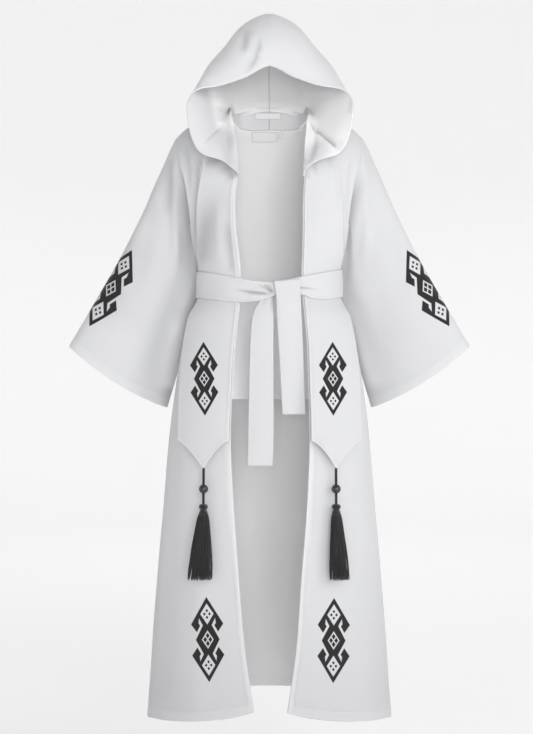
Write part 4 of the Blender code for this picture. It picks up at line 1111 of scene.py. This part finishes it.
hoodParts = {
    "columns": 66, "rows": 92, "seamGap": 0.0014, "stand": 0.0045, "standPlace": 0.022, "rest": 0.009,
    "ease": 0.012, "rightStretch": 1.02, "halfGap": 0.00005, "middle": (0, 0, 0.08),
    "seam": (0.0010, 0.0018), "seamGrey": (0.5, 0.0011), "edge": (0.0009, 0.004, 0.003),
    "edgeLight": (1, 0.0025, 0.0015), "paintedEdgeShade": {-1: (0.41, 0.085, 0.055), 1: (0.09, 0.045, 0.055)},
}
hoodRibs = (
    # place, opening edge x y z, side x y z, nape x z, centre seam y z
    (0.06, 0.083, -0.134, -0.104, 0.116, -0.112, -0.004, 0.112, 0.072, 0.074, 0.074),
    (0.14, 0.108, -0.146, -0.087, 0.114, -0.112, 0.006, 0.118, 0.085, 0.080, 0.086),
    (0.24, 0.151, -0.150, -0.073, 0.108, -0.114, 0.014, 0.122, 0.098, 0.089, 0.099),
    (0.32, 0.169, -0.150, -0.054, 0.106, -0.110, 0.023, 0.124, 0.112, 0.097, 0.112),
    (0.42, 0.184, -0.148, -0.007, 0.108, -0.086, 0.045, 0.120, 0.132, 0.108, 0.132),
    (0.52, 0.188, -0.146, 0.036, 0.126, -0.078, 0.076, 0.120, 0.152, 0.115, 0.152),
    (0.60, 0.179, -0.142, 0.063, 0.151, -0.068, 0.110, 0.118, 0.170, 0.119, 0.170),
    (0.68, 0.158, -0.138, 0.078, 0.156, -0.080, 0.168, 0.112, 0.192, 0.121, 0.190),
    (0.80, 0.1125, -0.132, 0.087, 0.117, -0.100, 0.230, 0.100, 0.236, 0.120, 0.215),
    (0.91, 0.056, -0.126, 0.107, 0.069, -0.118, 0.288, 0.070, 0.285, 0.116, 0.236),
    (1.00, 0.000, -0.120, 0.1337, 0.000, -0.120, 0.307, 0.000, 0.318, 0.112, 0.246),
)
# folds of the hood's outside, with painted shade along them
hoodCreases = [
    fold(0.01, 0.0045, 0.26, (-0.053, 0.238), (-0.057, 0.21), (-0.061, 0.187), (-0.0606, 0.16), fadeIn=0.3),
    fold(0.015, 0.0045, 0.36, (-0.0169, 0.21), (-0.0203, 0.18), (-0.0261, 0.152), (-0.0422, 0.126),
         (-0.056, 0.108), fadeIn=0.3, fadeOut=0.3, only=-1),
    fold(0.008, -0.003, 0, (-0.04, 0.23), (-0.042, 0.19), (-0.048, 0.15), fadeIn=0.4),
]
# folds of the turned-out edge, whose inside faces the front, with painted shade on that inside; entries of depth 0
# are painted shade only
lobeCreases = [
    fold(0.016, -0.002, 0.24, (-0.086, 0.093), (-0.0967, 0.0564), (-0.1002, 0.0359), (-0.099, 0.0245),
         fadeIn=0.02, fadeOut=0.6, only=1),
    fold(0.005, -0.003, 0.14, (-0.0989, 0.0281), (-0.1148, 0.003), (-0.1399, -0.03), (-0.1536, -0.054),
         fadeIn=0.5, only=1),
    fold(0.006, 0, 0.06, (-0.1673, 0.074), (-0.1308, 0.079), (-0.092, 0.0894)),
    fold(0.013, 0, 0.22, (-0.12, 0.06), (-0.114, 0.012), fadeIn=0.2, fadeOut=0.1),
    fold(0.014, -0.0025, 0.16, (0.0814, 0.093), (0.0906, 0.0679), (0.0951, 0.0427), (0.0929, 0.0245),
         fadeIn=0.02, fadeOut=0.1, only=-1),
    fold(0.0095, -0.006, 0.5, (0.09, 0.015), (0.1064, -0.0106), (0.1292, -0.0357), (0.152, -0.0608),
         fadeIn=0.15, fadeOut=0.12, only=1),
    fold(0.009, 0, 0.04, (0.0836, 0.089), (0.1201, 0.077), (0.152, 0.069), (0.1748, 0.0575)),
    fold(0.006, 0, 0.2, (0.1842, 0.0564), (0.1865, 0.0382), (0.1819, 0.013)),
    fold(0.006, 0, 0.16, (0.1657, -0.0357), (0.1634, -0.0562), (0.152, -0.0722)),
    fold(0.016, 0, 0.12, (-0.0993, 0.012), (-0.0947, -0.0471), (-0.0879, -0.1), fadeIn=0.2, fadeOut=0.1),
    fold(0.02, 0, 0.26, (0.1046, -0.0379), (0.123, -0.064), (0.0977, -0.0952)),
    fold(0.018, 0, 0.26, (0.0931, 0.008), (0.0908, -0.0379), (0.084, -0.098), fadeIn=0.2, fadeOut=0.1),
]
for crease in lobeCreases:
    crease.update(face=1, between=(-0.30, 0.03))


def clearOfBody(points):
    # pushed out to where the hood rests on the stoles, the fronts and the back
    y, z = points[..., 1], points[..., 2]
    x = np.abs(points[..., 0])
    neckX, drop, roundness = bodyShape["neckX"], bodyShape["shoulderDrop"], bodyShape["roundness"]
    rest = hoodParts["rest"]
    share = np.clip((float(shoulderLine(neckX)) - z) / drop, 0, 1)
    outside = eased((x - mix(neckX, bodyCurves["leftEdge"](drop), share)) / hoodParts["ease"] + 1)
    down = np.maximum(drop, -z)
    depth = np.where(y < 0, bodyCurves["frontDepth"](down), bodyCurves["backDepth"](down))
    depth = depth * np.maximum(0, 1 - (x / bodyCurves["halfWidth"](down)) ** roundness) ** (1 / roundness)
    high = np.maximum(0, z + drop) / (shoulderLine(x) + rest + drop)
    reach = np.hypot(y / (depth + rest), high)
    push = mix(1, np.maximum(1, 1 / np.maximum(reach, 1e-6)), outside)
    return np.stack([points[..., 0], y * push, np.where(high == 0, z, (z + drop) * push - drop)], axis=-1)


def hoodHalf(side, shares, wantedPlaces):
    # ribs run from the opening edge round to the nape; a smooth surface goes through them
    parts = hoodParts
    ribs = [bandEdge(side, 1, further, shares) for further in (parts["seamGap"], parts["stand"])]
    places = [0, parts["standPlace"]]
    t = shares[:, None]
    for place, ex, ey, ez, sx, sy, sz, nx, nz, cy, cz in hoodRibs:
        edge, middle, nape, end = np.array(((ex, ey, ez), (sx, sy, sz), (nx, cy, nz), (0, cy, cz)))
        rib = edge * (1 - t) ** 3 + end * t**3 + 3 * t * (1 - t) * (middle * (1 - t) + nape * t)
        ribs.append(clearOfBody(rib * (side * (parts["rightStretch"] if side > 0 else 1), 1, 1)))
        places.append(place)
    ribs.append(ribs[-2] * (-1, 1, 1))
    places.append(2 - places[-2])
    grid = np.zeros((len(wantedPlaces), len(shares), 3))
    for j, axis in np.ndindex(len(shares), 3):
        grid[:, j, axis] = curveOf(places, [rib[j, axis] for rib in ribs])(wantedPlaces)
    return grid


def makeHood():
    # rows run from the left neck seam over the crown to the right one, columns from the opening edge to the nape
    parts = hoodParts
    shares = edged((0, 0.008, 0.02, 0.036), 0.055, 0.975, parts["columns"] - 8, (0.984, 0.991, 0.996, 1))
    places = edged((0, 0.008, 0.018, 0.03), 0.04, 1, parts["rows"] - 4)
    left, right = (hoodHalf(side, shares, places) for side in handNames)
    crown = 0.5 * (left[-1] + right[-1])
    crown[:, 0] = 0
    grid = np.concatenate([left[:-1], [crown], right[-2::-1]])
    normals = squareTo(grid)
    if (normals * (grid - parts["middle"])).sum() < 0:
        normals = -normals
    grid, grey = creased(grid, normals, hoodCreases)
    grid, greyInside = creased(grid, normals, lobeCreases)
    for side, hand in handNames.items():
        # each half's shell ends a hair from the centre line, where the other begins
        own = np.s_[:len(places)] if side < 0 else np.s_[:len(places) - 2:-1]
        half, outward = grid[own].copy(), normals[own]
        half[:, -1, 0] = half[-1, :, 0] = side * parts["halfGap"]
        fromEdge = distanceAlong(half, 1)
        seam = np.minimum(fromEnd(half, 1), fromEnd(half))
        groove = ridge(seam, *parts["seam"])
        half = half + outward * (groove / 2)[..., None]
        # painted shade on the inside: in the lobes' folds, along the seams, and near the opening edge, much stronger
        # on the left; painted highlight along the opening edge
        inside = greyInside[own] + ridge(seam, *parts["seamGrey"]) + raised(fromEdge, *parts["paintedEdgeShade"][side])
        piece = clothObject("hood_cloth_" + hand, half, wall + raised(fromEdge, *parts["edge"]) - groove, sewn=True,
                            outward=outward, doubledAndHighlit=raised(fromEdge, *parts["edgeLight"]), paintedShadeAndLight=grey[own],
                            paintedShadeInside=inside)
        dress(piece, "hood", "hood_" + hand)


bandSurface = makeBand()
makeHood()
print("neck band and hood sewn")

beltParts = {
    "sideDown": 0.359, "lift": 0.0064, "tieX": 0.012, "tieDown": 0.385, "columns": 620, "rows": 41, "wall": 0.0024,
    "edge": (0.0008, 0.002, 0.002), "roll": 0.0012, "waver": 0.0008, "gather": 0.040,
    # greys are painted shade in the gathers by the tie and in the belt's folds
    "creases": [
        fold(0.002, 0.003, 0.45, (-0.033, -0.363), (-0.0146, -0.3744), (-0.0031, -0.3813), (0.0079, -0.3882),
             fadeIn=0.4, fadeOut=0.1),
        fold(0.0024, 0.0035, 0.75, (-0.016, -0.3645), (-0.005, -0.3745), (0.0068, -0.3859), fadeIn=0.4,
             fadeOut=0.05),
        fold(0.0016, 0.0025, 0.5, (-0.0045, -0.3665), (0.0038, -0.3767), (0.0084, -0.3847), fadeIn=0.3,
             fadeOut=0.05),
        fold(0.0034, 0.0045, 0.55, (-0.0903, -0.3767), (-0.0605, -0.3825), (-0.0375, -0.387),
             (-0.0146, -0.3889), (0.0084, -0.39), fadeIn=0.5, fadeOut=0.25),
        fold(0.004, -0.0022, 0, (-0.05, -0.394), (-0.0215, -0.395), (0.0, -0.3925)),
        fold(0.003, -0.002, 0, (-0.048, -0.379), (-0.0215, -0.382), (-0.002, -0.386)),
        fold(0.0024, 0.0035, 0.62, (0.056, -0.3748), (0.0887, -0.3763), (0.1185, -0.3786), fadeIn=0.02,
             fadeOut=0.8),
        fold(0.0024, 0.0028, 0.62, (0.06, -0.388), (0.07, -0.394), (0.084, -0.3985), fadeIn=0.02, fadeOut=0.6),
        fold(0.005, -0.0018, 0, (0.06, -0.383), (0.085, -0.386), (0.11, -0.388), fadeIn=0.02, fadeOut=0.6),
    ],
}
beltEdges = curvesOf(
    "x top bottom",
    (-0.170, 0.3330, 0.3933), (-0.102, 0.3454, 0.4029), (-0.056, 0.3546, 0.4080), (-0.017, 0.3615, 0.4050),
    (0.012, 0.3640, 0.3915), (0.040, 0.3560, 0.3880), (0.070, 0.3489, 0.3925), (0.085, 0.3459, 0.3990),
    (0.116, 0.3397, 0.4005), (0.170, 0.3284, 0.3910),
)


def makeBelt():
    parts = beltParts
    angle = turnsOf(parts["columns"])[None, :]
    place = np.linspace(-0.5, 0.5, parts["rows"])[:, None]
    sine, cosine = np.sin(angle), np.cos(angle)
    nominal = sine * bodyCurves["halfWidth"](parts["sideDown"])
    # the back of the belt runs straight from one side to the other
    top, bottom = (np.where(-cosine > 0, line(nominal), mix(line(-1), line(1), (nominal + 0.17) / 0.34))
                   for line in (beltEdges["top"], beltEdges["bottom"]))
    down = mix(top, bottom, place + 0.5)
    depth = np.where(-cosine > 0, bodyCurves["frontDepth"](down), bodyCurves["backDepth"](down)) + parts["lift"]
    across = np.sign(sine) * np.abs(sine) ** power * (bodyCurves["halfWidth"](down) + parts["lift"])
    deep = np.sign(cosine) * np.abs(cosine) ** power * depth
    grid = np.stack([across, deep, -down], axis=-1)
    normals = facing(grid, closed=True)
    # a soft roll along the belt, and the gathers that fan out from the tie
    fade = np.exp(-np.abs(across - parts["tieX"]) / parts["gather"]) * (deep < 0)
    height = parts["roll"] * np.cos(place * math.pi) * (1 - fade)
    height += parts["waver"] * np.sin(angle * 9 + place * 2.2) * np.cos(place * math.pi * 1.3)
    grid, grey = creased(grid + normals * height[..., None], normals, parts["creases"])
    fromEdge = np.minimum(distanceAlong(grid, 0), fromEnd(grid))
    thick = parts["wall"] + raised(fromEdge, *parts["edge"])
    piece = clothObject("belt_wrap_cloth", grid, thick, closed=True, paintedShadeAndLight=grey)
    dress(piece, "plain", "belt_wrap")


tailCurves = {
    "left": curvesOf(
        "down left right y", (0.385, -0.008, 0.008, -0.1165), (0.402, -0.018, 0.009, -0.1192),
        (0.414, -0.026, 0.009, -0.1210), (0.425, -0.032, 0.008, -0.1240), (0.450, -0.0395, 0.008, -0.1290),
        (0.510, -0.0435, 0.008, -0.1350), (0.700, -0.048, 0.0085, -0.1430), (0.783, -0.0495, 0.006, -0.1450),
    ),
    "right": curvesOf(
        "down left right y", (0.360, 0.0106, 0.0690, -0.1265), (0.400, 0.0165, 0.0705, -0.1290),
        (0.430, 0.0175, 0.0720, -0.1320), (0.510, 0.0220, 0.0760, -0.1390), (0.665, 0.0305, 0.0815, -0.1460),
    ),
}
tailParts = {
    "leftFrom": 0.385, "leftTo": 0.783, "leftRows": 70, "rightFrom": 0.366, "rightTo": 0.665, "rightRows": 60,
    "slant": 0.11, "fold": 0.0050, "back": 0.012, "innerDown": 0.395, "columns": 25, "wall": 0.0026,
    "edge": (0.0009, 0.003, 0.002), "rim": (0, 0.03, 0.07, 0.11), "farRim": (0.89, 0.93, 0.97, 1),
    "sway": {"left": 0.0014, "right": 0.0016}, "bow": 0.0022, "twist": 0.0014,
    # greys are painted shade: under the knot and in the left end's fold
    "leftCreases": [
        fold(0.005, 0, 0.5, (0.008, -0.39), (0.0075, -0.415), (0.007, -0.45), fadeIn=0, fadeOut=0.9),
        fold(0.003, 0.0012, 0.3, (0.0, -0.393), (-0.011, -0.406), (-0.019, -0.425), fadeIn=0, fadeOut=0.7),
    ],
    "rightCreases": [
        fold(0.005, -0.0012, 0, (0.015, -0.365), (0.023, -0.41), (0.028, -0.47), fadeIn=0, fadeOut=0.7),
    ],
}


def tailGrid(hand):
    # a belt's end hanging plainly, with the share down it and the share across it
    parts, curves = tailParts, tailCurves[hand]
    count = parts[hand + "Rows"]
    down = np.linspace(parts[hand + "From"], parts[hand + "To"], count)[:, None]
    shares = edged(parts["rim"], 0.16, 0.84, parts["columns"] - 8, parts["farRim"])[None, :]
    x = mix(curves["left"](down), curves["right"](down), shares)
    oval = np.maximum(0, 1 - (np.abs(x) / bodyCurves["halfWidth"](beltParts["tieDown"])) ** bodyShape["roundness"])
    grid = np.stack(np.broadcast_arrays(x, curves["y"](down) * oval ** (power / 2), -down), axis=-1)
    return grid, np.linspace(0, 1, count)[:, None], (x - x[:, :1]) / (x[:, -1:] - x[:, :1])


def makeTails():
    parts = tailParts
    left, hang, across = tailGrid("left")
    left[..., 1] -= parts["sway"]["left"] * np.sin(hang * 9.0 + 0.8) * eased(hang * 4)
    left[..., 1] -= parts["bow"] * np.sin(math.pi * across) * eased((0.35 - hang) / 0.3)
    right, hang, across = tailGrid("right")
    right[..., 2] += parts["slant"] * (right[..., 0] - right[..., :1, 0]) * (1 - eased(hang * 2.4))
    # the right end comes up behind the belt and folds over its top edge
    first = right[0]
    behind = [first * (1, 1, 0) + (0, parts["back"], -mix(parts["innerDown"], parts["rightFrom"], share))
              for share in np.linspace(0, 1, 8)]
    over = [first + (0, parts["back"] * (1 + math.cos(turned)) / 2, parts["fold"] * math.sin(turned))
            for turned in math.pi * np.linspace(0, 1, 13)[1:-1]]
    right[..., 1] -= parts["sway"]["right"] * np.sin(hang * 7.0 + 2.2) * eased(hang * 5)
    right[..., 1] -= parts["twist"] * np.sin(across * fullTurn) * eased(hang * 3)
    right = np.concatenate([behind, over, right])
    for hand, grid, flat in (("left", left, (0.060, 0.41)), ("right", right, (0.060, 0.37))):
        nearEdge = np.minimum.reduce([distanceAlong(grid, 1), fromEnd(grid, 1), fromEnd(grid)])
        thick = parts["wall"] + raised(nearEdge, *parts["edge"])
        grid, grey = creased(grid, facing(grid), parts[hand + "Creases"])
        piece = clothObject("belt_end_" + hand, grid, thick, paintedShadeAndLight=grey)
        dress(piece, "plain", "belt_tail_" + hand)


makeBelt()
makeTails()
print("belt tied")

# left edge, width, top edge, height, and how far the tape lies off the cloth; all are left bare
labelParts = {
    "label_hood_seam": (-0.035, 0.063, 0.0585, 0.0155, 0.0014),
    "label_back": (-0.042, 0.061, 0.0120, 0.0220, 0.0013),
    "label_size": (0.0235, 0.0075, 0.0120, 0.0140, 0.0013),
}
tapeParts = {"wall": 0.0008, "rim": np.array((0, 0.0009, 0.0018)), "inset": 0.003, "lift": 0.0006,
             "endPlace": 0.004, "endLift": (0.0006, 0.003), "paintedShadowRim": (0.4, 0.0011), "least": 0.01}


def makeLabels():
    tape, rim, inset = tapeParts, tapeParts["rim"], tapeParts["inset"]
    for name, (left, width, top, height, lift) in labelParts.items():
        surface = bandSurface if name == "label_hood_seam" else liningSurface
        tree = treeOf(surface, facing(surface), lift)
        xs, zs = (edged(rim, inset, size - inset, count, size - rim[::-1])
                  for size, count in ((width, 19), (height, 9)))
        xs, zs = left + xs, top - zs
        rows = []
        for z in zs[::-1]:
            hits = [tree.ray_cast(Vector((x, 0, z)), Vector(toBack))[0] for x in xs]
            rows.append([(x, hit.y if hit else rows[-1][k][1], z) for k, (x, hit) in enumerate(zip(xs, hits))])
        grid = np.array(rows[::-1])
        ends = np.minimum(xs - xs[0], xs[-1] - xs)[None, :]
        grid[..., 1] -= tape["lift"] + ridge(ends - tape["endPlace"], *tape["endLift"])
        fromEdge = np.minimum.reduce([run(grid, axis) for run in (distanceAlong, fromEnd) for axis in (0, 1)])
        # painted shadow round the tape's edges
        piece = clothObject(name + "_tape", grid, tape["wall"], paintedShadeAndLight=ridge(fromEdge, *tape["paintedShadowRim"]))
        dress(piece, "tape", name)


makeLabels()
print("labels sewn in")

tasselParts = {
    "cordWidth": 0.0065, "cordLength": 0.081, "runOn": 0.050, "beadWidth": 0.021, "beadPlace": 0.58,
    "boreGap": 0.0003, "boreFlat": 0.0008, "headWidth": 0.020, "headLength": 0.022,
    # the head's width and place at each step from its top
    "head": ((0.30, 0.0), (0.62, 0.02), (0.86, 0.10), (1.0, 0.26), (1.0, 0.40), (0.80, 0.50), (0.62, 0.56),
             (0.66, 0.62), (0.84, 0.72), (0.95, 0.86), (1.0, 1.0)),
    "collarPlaces": 0.545 + 0.022 * np.arange(4), "collarWidth": 0.66, "threadRadius": 0.0008,
    "strandLength": 0.147, "lean": 0.13, "skirtDepth": 0.026, "strands": 118, "strandSpread": 0.62,
    "skirtWidth": {-1: 0.060, 1: 0.048}, "swing": {-1: -0.007, 1: 0.007},
}


def tubeAround(path, radii, sides, ridges=0, twist=0.0, depth=0.0):
    # a tube along a path, closed at both ends, with twisted ridges where it is a rope
    path = np.asarray(path, float)
    tangent = unit(np.gradient(path, axis=0))
    sideways = unit(np.cross(tangent, (1.0, 0, 0)))[:, None]
    upwards = np.cross(sideways, tangent[:, None])
    turned = turnsOf(sides)
    radius = np.asarray(radii)[:, None] * np.ones(sides)
    if ridges:
        wound = ridges * (turned - twist * distanceAlong(path, 0)[:, None]) / 2
        radius = radius * (1 - depth * (1 - np.abs(np.cos(wound))))
    out = np.cos(turned)[:, None] * sideways + np.sin(turned)[:, None] * upwards
    points = path[:, None] + radius[..., None] * out
    ends = [tuple(range(sides - 1, -1, -1)), tuple((len(path) - 1) * sides + s for s in range(sides))]
    return points.reshape(-1, 3), ringFaces(len(path), sides) + ends


def turnedBead(centre):
    # a round bead, turned with a flat at each end of its bore
    parts = tasselParts
    radius, bore = parts["beadWidth"] / 2, parts["cordWidth"] / 2 + parts["boreGap"]
    opening = math.asin(bore / radius)
    end = radius * math.cos(opening) - parts["boreFlat"]
    turned = np.linspace(math.pi - opening, opening, 26)
    profile = np.array([(bore, -end), *zip(radius * np.sin(turned), radius * np.cos(turned)), (bore, end)])
    wide, along = profile.T[..., None]
    angle, tilt = turnsOf(48), math.atan(parts["lean"])
    x, y = wide * np.cos(angle), wide * np.sin(angle)
    points = np.stack([x, y * math.cos(tilt) + along * math.sin(tilt), along * math.cos(tilt) - y * math.sin(tilt)],
                      axis=-1)
    return centre + points.reshape(-1, 3), ringFaces(len(profile), 48, True)


def tasselHead(top, direction):
    # strands bound tight under a thread collar, with the loops of its top
    parts = tasselParts
    wide, place = zip(*parts["head"])
    steps = np.linspace(0, 1, 26)
    path = [top + direction * parts["headLength"] * step for step in steps]
    pieces = [tubeAround(path, curveOf(place, wide)(steps) * parts["headWidth"] / 2, 40, 20, 0.0, 0.10)]
    angle, wound = turnsOf(32)[:, None], turnsOf(6)[None, :]
    reach = parts["headWidth"] / 2 * parts["collarWidth"] + parts["threadRadius"] * np.cos(wound)
    up = parts["threadRadius"] * np.sin(wound) + 0 * angle
    loop = np.stack([reach * np.cos(angle), reach * np.sin(angle), up], axis=-1).reshape(-1, 3)
    for place in parts["collarPlaces"]:
        pieces.append((top + direction * parts["headLength"] * place + loop, ringFaces(32, 6, True)))
    return pieces


def tasselSkirt(side, top, direction):
    # strands spaced evenly over the head's underside, spreading and leaning a little each its own way
    parts = tasselParts
    golden = math.pi * (3 - math.sqrt(5))
    bottom = top + direction * parts["headLength"] * 0.85
    share = np.linspace(0, 1, 13)
    wide, deep = (mix(parts["headWidth"] * 0.44, size / 2 - 0.001, share ** parts["strandSpread"])
                  for size in (parts["skirtWidth"][side], parts["skirtDepth"]))
    radii = mix(0.00085, 0.0012, np.sin(share * math.pi) ** 0.5)
    radii[-1] = 0.0006
    pieces = []
    for index in range(parts["strands"]):
        ratio, spin = math.sqrt((index + 0.5) / parts["strands"]), index * golden
        uneven = math.sin(index * 12.9898) * 0.5 + math.sin(index * 4.1414) * 0.5
        reach = parts["strandLength"] + 0.003 * uneven + parts["headLength"] * 0.15
        wobble = 0.0012 * np.sin(share * 7 + index) * share
        x = ratio * math.cos(spin) * wide + parts["swing"][side] * share + wobble
        y = ratio * math.sin(spin) * deep + wobble * 0.6
        line = bottom + direction * reach * share[:, None] + np.stack([x, y, 0 * share], axis=-1)
        pieces.append(tubeAround(line, radii, 6))
    return pieces


def joined(pieces):
    faces, start = [], 0
    for points, own in pieces:
        faces += [tuple(index + start for index in face) for face in own]
        start += len(points)
    return np.concatenate([points for points, own in pieces]), faces


def makeTassels():
    parts = tasselParts
    direction = unit(np.array((0, -parts["lean"], -1.0)))
    length = parts["cordLength"] + parts["runOn"]
    for side, hand in handNames.items():
        # the cord starts where its solid does, just under the stole's point
        low, high = np.array(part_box("tassel_cord_" + hand))
        start = np.array(((low[0] + high[0]) / 2, high[1] - parts["cordWidth"] / 2, high[2] - 0.0004))
        end = start + direction * parts["cordLength"]
        path = [start + direction * length * share for share in np.linspace(0, 1, 60)]
        made = {
            "cord": ("tassel_rope_", tubeAround(path, np.full(60, parts["cordWidth"] / 2), 24, 3, 420.0, 0.22)),
            "bead": ("tassel_ball_", turnedBead(mix(start, end, parts["beadPlace"]))),
            "tassel": ("tassel_skirt_", joined(tasselHead(end, direction) + tasselSkirt(side, end, direction))),
        }
        cord, bead, tassel = (meshOf(name + hand, *mesh) for name, mesh in made.values())
        dress(cord, "blackThread", "tassel_cord_" + hand)
        dress(bead, "bead", "tassel_bead_" + hand)
        dress(tassel, "blackThread", "tassel_" + hand)


makeTassels()
print("tassels hung")
